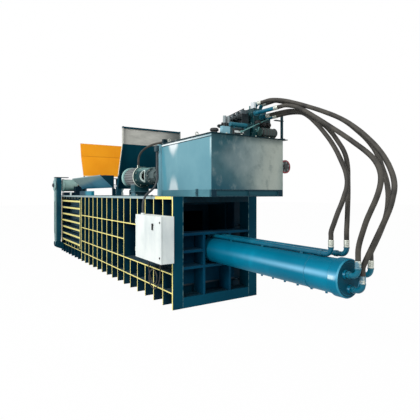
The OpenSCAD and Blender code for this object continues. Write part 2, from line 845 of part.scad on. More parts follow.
// Hexagon bolts round the lid
module lid_bolts() {
    bolt_d = 30;
    bolt_h = 14;
    color(steel) machine() {
        for (i = [0 : 6], y = [tank_y0 + 25, tank_y1 - 25])
            translate([tank_x0 + 60 + i * (tank_len - 190) / 6, y, lid_top])
                cylinder(d = bolt_d, h = bolt_h, $fn = 6);
        for (i = [1 : 4], x = [tank_x0 + 25, tank_x1 - 15])
            translate([x, tank_y0 + i * tank_w / 5, lid_top]) cylinder(d = bolt_d, h = bolt_h, $fn = 6);
    }
}

// Filler and breather cap near the visible corner of the lid
module breather_cap() {
    color(rubber) machine() translate([tank_x1 - 90, tank_y0 + 110, lid_top]) rotate_extrude()
        polygon([[0, 0], [45, 0], [45, 30], [62, 36], [62, 62], [50, 74], [0, 78]]);
}

// Stacked valve block on its foot with side covers, and the accumulator in front of it
module valve_manifold() {
    color(teal) machine() {
        block([block_x0 - 80, block_y0 - 35, lid_top], [block_x1 + 10, block_y1 + 8, lid_top + 90]);
        block([block_x0, block_y0, lid_top + 85], [block_x1, block_y0 + 107, block_top]);
        block([block_x0 + 40, block_y0 + 117, lid_top + 85], [block_x1, block_y0 + 215, block_top]);
        block([block_x0 + 60, block_y0 + 225, lid_top + 85], [block_x1, block_y1 - 40, block_top - 70]);
        for (z = [200, 380])
            for (x = [70, 215]) {
                bar_y(block_y0 - 18, block_y0, block_x0 + x, lid_top + z, 110);
                bar_y(block_y0 - 48, block_y0 - 18, block_x0 + x, lid_top + z, 62);
            }
        for (x = [60, 145])
            bar_z(block_top - 75, block_top - 10, block_x0 + 60 + x, block_y1 - 100, 70);
        block([block_x1 - 75, block_y0 + 7, block_top - 5], [block_x1, block_y0 + 43, block_top + 95]);
        bar_y(-215, 90, 640, lid_top + 173, 68);
        for (y = [-160, 40])
            block([622, y, lid_top], [658, y + 24, lid_top + 160]);
        block([676, -420, lid_top], [736, -280, lid_top + 114]);
    }
}

// Row of solenoid valves on a stepped sub-plate, and the small valves near the lid's edge
module solenoid_valves() {
    y0 = 45;
    y1 = 205;
    color(rubber) machine() {
        for (i = [0 : 4]) {
            x = 10 + i * 118;
            foot = lid_top + 170 + i * 14;
            block([x - 12, y0, lid_top], [x + 108, y1, foot]);
            block([x, y0 + 20, foot - 4], [x + 84, y1 - 10, foot + 150]);
            bar_y(y0 - 60, y0 + 30, x + 42, foot + 80, 60);
            bar_y(y0 - 84, y0 - 50, x + 42, foot + 80, 32);
            block([x + 18, y0 + 40, foot + 145], [x + 66, y1 - 40, foot + 215]);
        }
        block([470, -250, lid_top], [530, -110, lid_top + 167]);
        for (y = [-214, -146])
            bar_z(lid_top + 160, lid_top + 319, 500, y, 50);
        for (y = [-195, -105])
            block([664, y, lid_top], [724, y + 80, lid_top + 104]);
    }
}

// Steel outlet pipes from the valve block to the hoses
module outlet_pipes() {
    color(sky) machine() {
        for (o = outlets) {
            bar_x(block_x1, block_x1 + 20, o[0], lid_top + o[1], pipe_d + 30);
            bar_x(block_x1 + 20, block_x1 + o[2], o[0], lid_top + o[1], pipe_d);
        }
        for (y = risers) {
            translate([riser_x, y, block_top]) bend_over(pipe_d);
        }
    }
}

// Return filter across the lid, and the suction filter on the tank's far side
module oil_filters() {
    filter_z = lid_top + 85;
    suction_d = 216;
    suction_y = tank_y1 + 4 + suction_d / 2;
    suction_z = tank_z + 375;
    color(rubber) machine() {
        bar_y(330, 590, tank_x1 - 68, filter_z, 150);
        bar_y(300, 330, tank_x1 - 68, filter_z, 120);
        block([tank_x1 - 108, 360, lid_top], [tank_x1 - 28, 410, filter_z]);
        block([tank_x1 - 108, 510, lid_top], [tank_x1 - 28, 560, filter_z]);
        bar_y(tank_y1, suction_y, tank_x1 - 170, suction_z, 110);
        bar_x(tank_x1 - 290, tank_x1 - 75, suction_y, suction_z, 190);
        bar_x(tank_x1 - 80, tank_x1 - 55, suction_y, suction_z, suction_d);
        bar_x(tank_x1 - 60, tank_x1 - 40, suction_y, suction_z, 80);
    }
}

// Finned electric motor with fan cowl, feet, flange and terminal box
module motor() {
    color(pale) machine() difference() {
        union() {
            translate([motor_x0 + 110, motor_y, motor_z]) rotate([90, 0, 90])
                linear_extrude(flange_x - motor_x0 - 140) {
                    circle(r = body_r);
                    for (a = [0 : 15 : 345])
                        rotate(a) translate([body_r - 4, -4]) square([22, 8]);
                }
            translate([motor_x0, motor_y, motor_z]) rotate([0, 90, 0]) rotate_extrude()
                polygon([[0, 0], [motor_d / 2 - 40, 0], [motor_d / 2 - 12, 14], [motor_d / 2, 40],
                    [motor_d / 2, 110], [0, 110]]);
            bar_x(flange_x - 30, flange_x, motor_y, motor_z, motor_d - 30);
            bar_x(flange_x, bell_x, motor_y, motor_z, motor_d);
            block([foot_x0 + 20, motor_y - 150, deck_h + rail_h - 5],
                [flange_x - 40, motor_y + 150, motor_z - body_r + 45]);
            block([flange_x - 260, motor_y + 120, motor_z - 80],
                [flange_x - 60, motor_y + 270, motor_z + 90]);
            bar_z(motor_z + 150, motor_z + 222, hose_x, hose_y, 46);
        }
        bar_x(bell_x - 80, bell_x + 1, motor_y, motor_z, shaft_d + 2 * fit);
    }
}

// Pedestal under the drive end of the motor, which carries the whole pump set
module motor_base() {
    top = deck_h + rail_h - 5;
    color(pale) machine() {
        block([foot_x0, motor_y - 175, deck_h], [flange_x + 110, motor_y + 175, deck_h + 16]);
        block([foot_x0 + 10, motor_y - 160, top - 16], [flange_x - 30, motor_y + 160, top]);
        for (y = [motor_y - 140, motor_y + 120])
            block([foot_x0 + 25, y, deck_h + 10], [flange_x - 45, y + 20, top - 10]);
        block([foot_x0 + 100, motor_y - 140, deck_h + 10], [foot_x0 + 120, motor_y + 140, top - 10]);
    }
}

// Bell housing with hand windows round the coupling
module bellhousing() {
    color(pale) machine() difference() {
        union() {
            bar_x(bell_x, bell_x + 25, motor_y, motor_z, motor_d - 40);
            bar_x(bell_x, pump_x, motor_y, motor_z, 320);
        }
        bar_x(bell_x - 1, pump_x - 25, motor_y, motor_z, 260);
        bar_x(pump_x - 30, pump_x + 1, motor_y, motor_z, shaft_d + 40);
        translate([bell_x + 320, motor_y, motor_z]) rotate([90, 0, 0]) bar_z(-180, 180, 0, 0, 190);
    }
}

// Piston pump with its suction line into the tank
module main_pump() {
    color(steel) machine() difference() {
        union() {
            bar_x(pump_x, pump_x + 35, motor_y, motor_z, 300);
            translate([pump_x + 35, motor_y, motor_z]) rotate([0, 90, 0]) rotate([0, 0, 22.5])
                cylinder(d = 235, h = 210, $fn = 8);
            bar_x(pump_x + 245, pump_x + 300, motor_y, motor_z, 170);
            bar_x(pump_x + 300, tank_x0, motor_y, motor_z, 70);
            bar_x(tank_x0 - 25, tank_x0, motor_y, motor_z, 78);
            block([pump_x + 90, motor_y - 50, motor_z + 90], [pump_x + 190, motor_y + 50, motor_z + 150]);
        }
        bar_x(pump_x - 1, pump_x + 60, motor_y, motor_z, shaft_d + 2 * fit);
    }
}

// Shaft and jaw coupling inside the bell housing
module drive_coupling() {
    color(steel) machine() {
        bar_x(bell_x - 60, pump_x + 50, motor_y, motor_z, shaft_d);
        bar_x(bell_x + 110, bell_x + 200, motor_y, motor_z, 170);
        bar_x(bell_x + 230, bell_x + 320, motor_y, motor_z, 170);
        for (a = [0 : 60 : 300])
            translate([bell_x + 195, motor_y, motor_z]) rotate([a, 0, 0])
                translate([0, 45, -17]) cube([40, 35, 34]);
    }
}

// Leakage hose from the motor end to the tank lid, with its fitting on the lid
module pump_hose() {
    color(rubber) machine() cord(pump_hose_path, pump_hose_d, 8, [0, 1, 0]);
}

// Cabinet stations
cab_x1 = 100;
cab_x0 = cab_x1 - cab_w;
cab_back = -half_w - 30;
cab_front = cab_back - cab_d;
door_gap = 2;
door_back = cab_front + door_t;
hinge_axis_x = cab_x0 - 12;
hinge_axis_y = cab_front + door_t / 2;
cab_pin_d = 12;
gland_y = cab_back - 135;
cab_hinges = [cab_z + 90, cab_z + cab_h - 150];
handle_x = -180;
handle_z = cab_z + 570;

// Sheet steel cabinet with mounting rails, hinge pins and cable glands
module cabinet_body() {
    front = door_back + door_gap;
    color(cream) machine() {
        difference() {
            block([cab_x0, front, cab_z], [cab_x1, cab_back, cab_z + cab_h]);
            block([cab_x0 + cab_t, front - 1, cab_z + cab_t],
                [cab_x1 - cab_t, cab_back - cab_t, cab_z + cab_h - cab_t]);
        }
        for (z = [cab_z + 60, stringer_4 - 20])
            block([cab_x0 + 30, cab_back, z], [-3, -half_w, z + 40]);
        for (z = cab_hinges) {
            bar_z(z, z + 70, hinge_axis_x, hinge_axis_y, cab_pin_d);
            bar_z(z, z + 30, hinge_axis_x, hinge_axis_y, 24);
            block([hinge_axis_x, front + 2, z], [cab_x0, front + 10, z + 30]);
            block([hinge_axis_x - 6, hinge_axis_y, z], [hinge_axis_x + 6, front + 10, z + 30]);
        }
        bar_z(cab_z + cab_h, cab_z + cab_h + 25, -760, gland_y, 64);
        for (x = [-520, -100])
            bar_z(cab_z - 20, cab_z, x, gland_y, 30);
    }
}

// Switchgear on its plate at the back of the cabinet
module switchgear_plate() {
    back = cab_back - cab_t;
    color(steel) machine() {
        block([cab_x0 + 40, back - 4, cab_z + 40], [cab_x1 - 40, back, cab_z + cab_h - 40]);
        for (row = [0 : 2]) {
            z = cab_z + 90 + row * 200;
            block([cab_x0 + 70, back - 12, z + 40], [cab_x1 - 70, back - 4, z + 75]);
            for (i = [0 : 6])
                block([cab_x0 + 90 + i * 115, back - 90, z], [cab_x0 + 175 + i * 115, back - 12, z + 120]);
        }
    }
}

// Folded door with a raised edge, its hinge knuckles and a hole for the lock spindle
module cabinet_door() {
    color(cream) machine() difference() {
        union() {
            block([cab_x0, cab_front, cab_z], [cab_x1, door_back, cab_z + cab_h]);
            for (z = cab_hinges) {
                bar_z(z + 30.5, z + 70, hinge_axis_x, hinge_axis_y, 24);
                block([hinge_axis_x, hinge_axis_y - 8, z + 30.5], [cab_x0 + 1, hinge_axis_y + 8, z + 70]);
            }
        }
        block([cab_x0 + 20, cab_front + 3, cab_z + 20], [cab_x1 - 20, door_back + 1, cab_z + cab_h - 20]);
        for (z = cab_hinges)
            bar_z(z + 20, z + 80, hinge_axis_x, hinge_axis_y, cab_pin_d + 2 * fit);
        bar_y(cab_front - 1, cab_front + 4, handle_x, handle_z, 22 + 2 * fit);
    }
}

// Quarter-turn lever with its spindle and locking tongue
module door_handle() {
    color(rubber) machine() {
        bar_y(cab_front - 8, cab_front - seat, handle_x, handle_z, 44);
        bar_y(cab_front - seat, cab_front + 16, handle_x, handle_z, 22);
        block([handle_x - 11, cab_front - 22, handle_z - 75],
            [handle_x + 11, cab_front - 8, handle_z + 25]);
        block([handle_x - 8, cab_front + 8, handle_z - 15], [handle_x + 70, cab_front + 14, handle_z + 15]);
    }
}

// Corrugated conduit from the duct to the cabinet, and a wire loop under it
module cabinet_conduit() {
    color(rubber) machine() cord(conduit_path, conduit_d, 10, [1, 0, 0]);
}

module cable_loop() {
    color(rubber) machine() cord(cable_path, cable_d, 8, [0, 1, 0]);
}

// Fixed shear blade across the front edge of the hopper throat
module shear_blade() {
    color(steel) machine()
        block([-ribs_end, -half_c + 2, roof_z], [-ribs_end + 30, half_c - 2, deck_h - 20]);
}

// Panel hinges: fixed knuckles with their pins on the last rib, moving ones on the panel
knuckle_d = 90;
knuckle_h = 110;
hinge_rows = [floor_h + 120, floor_h + 555, floor_h + 990];

module fixed_hinges() {
    for (z = hinge_rows) {
        for (low = [z, z + 2 * knuckle_h]) {
            bar_z(low, low + knuckle_h - 2, hinge_x, -hinge_y, knuckle_d);
            block([hinge_x, -hinge_y - 20, low], [-ribs_end, -hinge_y + 20, low + knuckle_h - 2]);
        }
        bar_z(z, z + 3 * knuckle_h - 2, hinge_x, -hinge_y, hinge_d);
    }
}

// Side panel of the bale chamber: wall plate, bars, end posts and push pad, on the left
module side_panel() {
    z0 = floor_h + panel_gap;
    z1 = roof_z - panel_gap;
    pad_z = bar_low + 3 * bar_pitch;
    difference() {
        union() {
            block([panel_x0, -wall_out, z0], [panel_x1, -half_c, z1]);
            for (i = [0 : bar_count - 1])
                block([panel_x0, -half_w, bar_low + i * bar_pitch - bar_t / 2],
                    [hinge_x - 60, -wall_out, bar_low + i * bar_pitch + bar_t / 2]);
            for (x = [panel_x0, hinge_x - 90])
                block([x, -half_w, z0], [x + 30, -wall_out, z1]);
            block([arm_x - 45, -arm_in + 2, pad_z - bar_t / 2], [arm_x + 45, -half_w, pad_z + bar_t / 2]);
            for (z = hinge_rows) {
                bar_z(z + knuckle_h, z + 2 * knuckle_h - 2, hinge_x, -hinge_y, knuckle_d);
                block([hinge_x - 90, -hinge_y - 20, z + knuckle_h],
                    [hinge_x, -wall_out, z + 2 * knuckle_h - 2]);
            }
        }
        for (z = hinge_rows)
            bar_z(z, z + 3 * knuckle_h, hinge_x, -hinge_y, hinge_d + 2 * fit);
    }
}

module left_panel() {
    color(sky) machine() side_panel();
}

module right_panel() {
    color(sky) machine() mirror([0, 1, 0]) side_panel();
}

// Brackets at the exit sill that carry the arm pins
module arm_bracket() {
    x0 = arm_x - arm_w / 2;
    x1 = arm_x + arm_w / 2;
    cheek = [[-half_w, 70], [-arm_y - 70, pivot_z - 100], [-arm_y - 90, pivot_z - 30],
        [-arm_y - 90, pivot_z + 40], [-arm_y - 50, pivot_z + 90], [-arm_y + 40, pivot_z + 90],
        [-half_w, floor_h - floor_t - 4]];
    cross_plate(x0 - 36, x0 - 4, cheek);
    cross_plate(x1 + 4, x1 + 36, cheek);
    block([x0 - 36, -half_w - 16, 70], [x1 + 36, -half_w, floor_h - floor_t - 4]);
    bar_x(x0 - 40, x1 + 40, -arm_y, pivot_z, arm_pin_d);
}

module arm_brackets() {
    color(teal) machine() both_sides() arm_bracket();
}

// Upright clamp arm: eye below, fork above under a cover plate, round flange and stub outside
module clamp_arm() {
    x0 = arm_x - arm_w / 2;
    x1 = arm_x + arm_w / 2;
    difference() {
        union() {
            cross_plate(x0, x1, [[-arm_y - 60, pivot_z - 55], [-arm_y + 60, pivot_z - 55],
                [-arm_in - 15, pivot_z + 60], [-arm_in, pivot_z + 240], [-arm_in, arm_top],
                [-arm_out, arm_top], [-arm_out, pivot_z + 420], [-arm_y - 75, pivot_z + 40]]);
            bar_y(-arm_out - 20, -arm_out + 8, arm_x, cross_z, 330);
            bar_y(-stub_out + 15, -arm_out, arm_x, cross_z, 120);
            bar_y(-stub_out, -arm_out, arm_x, cross_z, 90);
            block([x0 - 20, -arm_out, arm_top - 6], [x1 + 20, -half_w + 150, arm_top + 14]);
        }
        bar_x(x0 - 1, x1 + 1, -arm_y, pivot_z, arm_pin_d + 2 * fit);
        block([arm_x - slot_w / 2, -arm_out + 12, cross_z - 130],
            [arm_x + slot_w / 2, -arm_in + 1, arm_top - 30]);
        for (z = [pivot_z + 300 : 340 : cross_z - 560])
            block([x0 + 16, -arm_out - 1, z], [x1 - 16, -arm_out + 90, z + 320]);
    }
    bar_x(x0, x1, -arm_y, cross_z, arm_pin_d);
}

module left_arm() {
    color(pale) machine() clamp_arm();
}

module right_arm() {
    color(pale) machine() mirror([0, 1, 0]) clamp_arm();
}

// Cross cylinder stations along Y
drum_y0 = -half_w;
drum_y1 = -half_w + 400;
drum_bore = drum_d - 60;
cross_rod_d = 130;
plunger_len = 60;

// Cross cylinder barrel with its eye on the left arm
module cross_barrel() {
    color(pale) machine() difference() {
        union() {
            bar_y(drum_y0, drum_y1, arm_x, cross_z, drum_d);
            bar_y(drum_y0 - 20, drum_y0 + 25, arm_x, cross_z, drum_d + 24);
            bar_y(drum_y1 - 50, drum_y1, arm_x, cross_z, drum_d + 24);
            bar_y(-arm_y, drum_y0 - 10, arm_x, cross_z, 96);
            bar_x(arm_x - eye_w / 2, arm_x + eye_w / 2, -arm_y, cross_z, eye_d);
        }
        bar_y(drum_y0 + 40, drum_y1 - 40, arm_x, cross_z, drum_bore);
        bar_y(drum_y1 - 50, drum_y1 + 1, arm_x, cross_z, cross_rod_d + 2 * fit);
        bar_x(arm_x - eye_w, arm_x + eye_w, -arm_y, cross_z, arm_pin_d + 2 * fit);
    }
}

// Cross cylinder rod with its plunger, and an eye with play on the right arm
module cross_rod() {
    start = drum_y1 - 45 - plunger_len;
    eye_play = 2;
    color(steel) machine() difference() {
        union() {
            bar_y(start, start + plunger_len, arm_x, cross_z, drum_bore - 2 * fit);
            bar_y(start, arm_in - 80, arm_x, cross_z, cross_rod_d);
            bar_y(arm_in - 100, arm_y, arm_x, cross_z, 96);
            bar_x(arm_x - eye_w / 2, arm_x + eye_w / 2, arm_y, cross_z, eye_d);
        }
        bar_x(arm_x - eye_w, arm_x + eye_w, arm_y, cross_z, arm_pin_d + eye_play);
    }
}

// Press ram: a hollow box behind a thick face, on shoes that slide along the floor
module ram_box() {
    w = half_c - ram_gap;
    x0 = -ram_face;
    x1 = -ram_face + ram_len;
    z0 = floor_h + 12;
    z1 = roof_z - 14;
    color(sky) machine() {
        block([x0, -w, z0], [x0 + face_t, w, z1]);
        block([x0, -w, z1 - ram_t], [x1, w, z1]);
        both_sides() {
            block([x0, w - ram_t, z0], [x1, w, z1]);
            block([x0 + 40, w - 120, floor_h + seat], [x1 - 40, w, z0]);
            for (x = [x0 + face_t, x0 + 900, x1 - 600])
                block([x, w - 160, z0], [x + 30, w, z1]);
        }
        for (x = [x0 + 900, x1 - 600])
            block([x, -w, z1 - 170], [x + 30, w, z1]);
        bar_x(x0 + face_t, x0 + face_t + 180, 0, axis_h, rod_d + 160);
        for (a = [45 : 90 : 315])
            translate([x0 + face_t, 0, axis_h]) rotate([a, 0, 0])
                translate([0, -12, 150]) cube([170, 24, 190]);
    }
}

// Main piston and rod in one turned piece, from the bore to the ram face
module piston_rod() {
    color(steel) machine() {
        bar_x(-ram_face + face_t + 180, piston_x + piston_len, 0, axis_h, rod_d);
        bar_x(piston_x, piston_x + piston_len, 0, axis_h, bore_d - 2 * fit);
    }
}

floor_plate();
floor_beams();
left_wall();
left_ribs_front();
left_ribs_low();
left_ribs_high();
right_side();
rear_deck();
front_deck();
left_end_post();
right_end_post();
exit_posts();
reaction_grid();
cylinder_mount_plate();
cylinder_barrel();
cylinder_gland();
cylinder_cap();
return_pipes();
port_elbows();
cap_hose_top();
cap_hose_low();
cap_hose_far();
pipe_hose_left();
pipe_hose_right();
hose_ferrules();
hopper_rear_wall();
hopper_front_wall();
left_flare();
right_flare();
tank_base();
oil_tank();
tank_lid();
lid_bolts();
breather_cap();
valve_manifold();
solenoid_valves();
outlet_pipes();
oil_filters();
motor();
motor_base();
bellhousing();
main_pump();
pump_hose();
cabinet_body();
switchgear_plate();
cabinet_conduit();
cable_loop();
shear_blade();
arm_brackets();
ram_box();
piston_rod();
cabinet_door();
door_handle();
drive_coupling();
left_panel();
right_panel();
left_arm();
right_arm();
cross_barrel();
cross_rod();
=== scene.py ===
import math

import bmesh
import bpy
from mathutils import Matrix, Vector


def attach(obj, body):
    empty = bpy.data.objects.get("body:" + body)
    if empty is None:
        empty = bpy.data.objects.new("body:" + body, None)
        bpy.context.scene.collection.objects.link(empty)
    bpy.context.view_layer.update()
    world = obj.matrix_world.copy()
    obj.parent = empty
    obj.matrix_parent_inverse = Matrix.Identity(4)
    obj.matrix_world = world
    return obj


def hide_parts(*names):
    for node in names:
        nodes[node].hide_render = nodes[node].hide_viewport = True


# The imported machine: every solid piece of the baler, in its own frame.
# X runs along the machine towards the main cylinder, and Z is up.
# Machine zero lies on the face of the end posts, which also give the body's side and the deck.
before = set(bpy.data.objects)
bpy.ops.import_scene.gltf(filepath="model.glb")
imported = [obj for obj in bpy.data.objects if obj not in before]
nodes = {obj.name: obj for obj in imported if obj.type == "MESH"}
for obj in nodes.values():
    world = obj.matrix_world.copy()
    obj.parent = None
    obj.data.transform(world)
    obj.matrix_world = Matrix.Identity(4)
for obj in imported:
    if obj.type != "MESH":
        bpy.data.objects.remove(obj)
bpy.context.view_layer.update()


def box_of(name):
    """The lowest and highest corner of a solid piece, in metres."""
    corners = [nodes[name].matrix_world @ vertex.co for vertex in nodes[name].data.vertices]
    low = [round(min(corner[i] for corner in corners), 4) for i in range(3)]
    high = [round(max(corner[i] for corner in corners), 4) for i in range(3)]
    return low, high


post_low, post_high = box_of("left_end_post")
SHIFT, SIDE, DECK = post_high[0], -post_low[1], post_high[2]
SKIN = 0.0008  # a surface this near to a plane counts as lying in it


# Press body: welded plate in dark teal enamel, sprayed after welding.
# The outer edges of the ribs and stringers are picked out in yellow by hand.
class Field:
    """A value or colour over a surface. Sums on it add nodes to its material."""

    def __init__(self, tree, socket):
        self.tree = tree
        self.socket = socket

    def math(self, operation, a, b=0.0, clamp=False):
        step = self.tree.nodes.new("ShaderNodeMath")
        step.operation = operation
        step.use_clamp = clamp
        for socket, value in zip(step.inputs, (a, b)):
            if isinstance(value, Field):
                self.tree.links.new(value.socket, socket)
            else:
                socket.default_value = value
        return Field(self.tree, step.outputs[0])

    def __add__(self, other):
        return self.math("ADD", self, other)

    def __radd__(self, other):
        return self.math("ADD", other, self)

    def __sub__(self, other):
        return self.math("SUBTRACT", self, other)

    def __rsub__(self, other):
        return self.math("SUBTRACT", other, self)

    def __mul__(self, other):
        return self.math("MULTIPLY", self, other)

    def __rmul__(self, other):
        return self.math("MULTIPLY", other, self)

    def __truediv__(self, other):
        return self.math("DIVIDE", self, other)

    def __gt__(self, other):
        return self.math("GREATER_THAN", self, other)

    def __lt__(self, other):
        return self.math("LESS_THAN", self, other)

    def __abs__(self):
        return self.math("ABSOLUTE", self)

    def clamp(self):
        return self.math("ADD", self, 0.0, True)

    def wave(self):
        return self.math("SINE", self)

    def root(self):
        return self.math("SQRT", self)


class Finish:
    """One material with a Principled shader, built node by node."""

    def __init__(self, name):
        self.material = bpy.data.materials.new(name)
        self.material.use_nodes = True
        self.tree = self.material.node_tree
        self.shader = self.tree.nodes["Principled BSDF"]

    def node(self, kind, settings, sockets, out=0):
        made = self.tree.nodes.new("ShaderNode" + kind)
        for key, value in settings.items():
            setattr(made, key, value)
        for key, value in sockets.items():
            socket = made.inputs[key]
            if isinstance(value, Field):
                self.tree.links.new(value.socket, socket)
            else:
                socket.default_value = value
        return Field(self.tree, made.outputs[out])

    def place(self):
        return self.node("TexCoord", {}, {}, "Object")

    def split(self, vector):
        parts = self.node("SeparateXYZ", {}, {0: vector}).socket.node.outputs
        return [Field(self.tree, socket) for socket in parts]

    def axes(self):
        x, y, z = self.split(self.place())
        return x - SHIFT, y, z

    def facing(self):
        return self.split(self.node("NewGeometry", {}, {}, "Normal"))

    def noise(self, scale, detail=3.0, stretch=(1, 1, 1), rough=0.55):
        where = self.node("Mapping", {}, {"Vector": self.place(), "Scale": stretch})
        return self.node("TexNoise", {}, {"Vector": where, "Scale": scale, "Detail": detail,
                                          "Roughness": rough})

    def step(self, value, low, high):
        return self.node("MapRange", {"interpolation_type": "SMOOTHSTEP"},
                         {0: value, 1: low, 2: high})

    def mix(self, factor, a, b):
        return self.node("Mix", {"data_type": "RGBA"}, {0: factor, 6: a, 7: b}, 2)

    def soft_edge(self, radius):
        return self.node("Bevel", {"samples": 6}, {"Radius": radius})

    def bump(self, height, strength, distance, normal=None):
        sockets = {"Height": height, "Strength": strength, "Distance": distance}
        if normal:
            sockets["Normal"] = normal
        return self.node("Bump", {}, sockets)

    def set(self, **values):
        for key, value in values.items():
            socket = self.shader.inputs[key.replace("_", " ")]
            if isinstance(value, Field):
                self.tree.links.new(value.socket, socket)
            else:
                socket.default_value = value
        return self


def tone(red, green, blue):
    """A colour as it shows on screen, made linear."""
    parts = [c / 255 for c in (red, green, blue)]
    return [c / 12.92 if c < 0.04045 else ((c + 0.055) / 1.055) ** 2.4 for c in parts] + [1.0]


def enamel(name, colour, pale, dark, rough=0.45, gloss=0.09, coat=0.0, edge=0.006, dust=0.15,
           cloud=1.3, peel=0.5, wear=0.5, stripe=None):
    """Sprayed enamel: clouded tone, dirt runs, dust on flat tops, orange peel, rubbed edges."""
    paint = Finish(name)
    broad = paint.noise(cloud, 4.0)
    streak = paint.noise(2.2, 5.0, (1.6, 1.6, 0.35), 0.65)
    fine = paint.noise(38.0, 4.0)
    base = paint.mix(paint.step(broad, 0.30, 0.72), dark, colour)
    base = paint.mix(paint.step(streak, 0.52, 0.80) * 0.4, base, pale)
    grime = paint.step(fine * 0.4 + streak * 0.6, 0.36, 0.22) * 0.5
    base = paint.mix(grime, base, [c * 0.4 for c in dark[:3]] + [1.0])
    settled = paint.step(paint.facing()[2], 0.75, 1.0) * dust * paint.step(fine, 0.25, 0.75)
    base = paint.mix(settled, base, tone(176, 184, 178))
    if stripe:
        base = stripe(paint, base)
    rounded = paint.soft_edge(edge)
    flat = paint.node("NewGeometry", {}, {}, "Normal")
    turned = paint.node("VectorMath", {"operation": "DOT_PRODUCT"}, {0: rounded, 1: flat}, "Value")
    rubbed = paint.step(turned, 0.98, 0.8) * paint.step(fine, 0.34, 0.6)
    base = paint.mix(rubbed * wear, base, paint.mix(0.15, pale, tone(190, 200, 196)))
    grain = paint.noise(260.0, 2.0)
    wave = paint.noise(5.0, 2.0)
    normal = paint.bump(grain * 0.12 + wave * 0.9, 0.18 * peel, 0.012, rounded)
    paint.set(Base_Color=base, Roughness=(rough + broad * 0.16 + settled * 0.5 - 0.06).clamp(),
              Specular_IOR_Level=gloss, Coat_Weight=coat, Coat_Roughness=0.12, Normal=normal)
    return paint.material


def dress(material, *names):
    """Paints solid pieces."""
    for name in names:
        for held in nodes[name].material_slots:
            held.material = material


def brushed_yellow(paint):
    """Two-tone yellow, laid on with a brush."""
    return paint.mix(paint.noise(14.0), tone(228, 214, 116), tone(252, 243, 166))


def outermost(y):
    """One on faces that lie in the body's outer side."""
    return abs(y) > SIDE - SKIN


def yellow_edges(paint, base):
    """Yellow on the outer edges of ribs, stringers and bars, with a ragged brush line."""
    x, y, _ = paint.axes()
    ragged = paint.noise(22.0, 5.0, (1, 1, 1), 0.7)
    thin = paint.step(paint.noise(9.0, 5.0, (1, 1, 1), 0.7), 0.30, 0.44)
    far_lap, ragged_lap = 0.005, 0.002
    lap = paint.step(x, -1.5, -4.5) * far_lap + paint.step(ragged, 0.45, 0.8) * ragged_lap
    edge = (abs(y) > SIDE - SKIN - lap) * (0.85 + thin * 0.15)
    return paint.mix(edge, base, brushed_yellow(paint))


def worn_pale(paint):
    """Pale grey of a deck edge that is walked and leant on."""
    rubbing = paint.noise(6.0, 5.0, (1, 1, 1), 0.7)
    return paint.mix(rubbing, tone(120, 146, 150), tone(174, 192, 193))


def deck_edge(y, z):
    """One on the strip that runs along the top of the body's side."""
    strip = 0.0452
    return outermost(y) * (z > DECK - strip)


def rib_stripes(paint, base):
    """Rib edges in yellow under a pale deck edge, which turns yellow near the cylinder end."""
    x, y, z = paint.axes()
    base = yellow_edges(paint, base)
    bright_from, bright_to = -0.64, -0.055
    near = (x > bright_from) * (x < bright_to)
    bright = paint.mix(paint.noise(14.0), tone(238, 206, 92), tone(252, 226, 138))
    base = paint.mix(deck_edge(y, z), base, paint.mix(near, worn_pale(paint), bright))
    curb = paint.mix(paint.step(x, -5.05, -4.75), tone(3, 60, 78), tone(36, 128, 150))
    return paint.mix((z > DECK + 2 * SKIN) * (y < 0), base, curb)


def ledge_stripe(paint, base):
    """The end sill is lighter, and the ledge under the bale chamber has a yellow edge."""
    x, y, z = paint.axes()
    sill_x, chamber_x, ledge_z = -0.03, -5.26, 0.24
    ledge = outermost(y) * (z > ledge_z) * (x < chamber_x)
    base = paint.mix((x > sill_x) * 0.8, base, tone(1, 72, 94))
    return paint.mix(ledge * 0.85, base, brushed_yellow(paint))


def deck_stripe(paint, base):
    """Worn edges, and lifting eyes in a pale coat."""
    _, y, z = paint.axes()
    base = paint.mix(outermost(y), base, tone(168, 176, 158))
    base = paint.mix(deck_edge(y, z), base, worn_pale(paint))
    eye_y = 0.75
    return paint.mix((z > DECK + 2 * SKIN) * (abs(y) > eye_y), base, tone(196, 212, 212))


teal = enamel("body_teal_enamel", tone(1, 46, 62), tone(14, 78, 94), tone(0, 28, 42), gloss=0.05,
              dust=0.04, wear=0.2, stripe=ledge_stripe)
rib_teal = enamel("rib_enamel_yellow_edges", tone(2, 48, 66), tone(22, 92, 112), tone(0, 30, 46),
                  wear=0.08, stripe=rib_stripes)
deck_teal = enamel("deck_enamel", tone(1, 46, 60), tone(14, 78, 94), tone(0, 30, 42),
                   stripe=deck_stripe)
dress(rib_teal, "left_ribs_front", "left_ribs_low", "left_ribs_high", "right_side")
dress(teal, "floor_beams", "left_wall")
dress(enamel("bracket_enamel", tone(3, 58, 74), tone(24, 92, 106), tone(1, 38, 52)), "arm_brackets")
dress(deck_teal, "rear_deck", "front_deck")


def exit_stripe(paint, base):
    """Ochre outer edges, and a dark top."""
    _, y, z = paint.axes()
    ochre = paint.mix(paint.noise(8.0), tone(150, 112, 44), tone(206, 160, 60))
    base = paint.mix(outermost(y) * 0.9, base, ochre)
    return paint.mix(z > DECK - SKIN, base, tone(4, 30, 44))


dress(enamel("exit_post_enamel", tone(4, 52, 68), tone(24, 90, 106), tone(1, 36, 50),
             stripe=exit_stripe), "exit_posts")

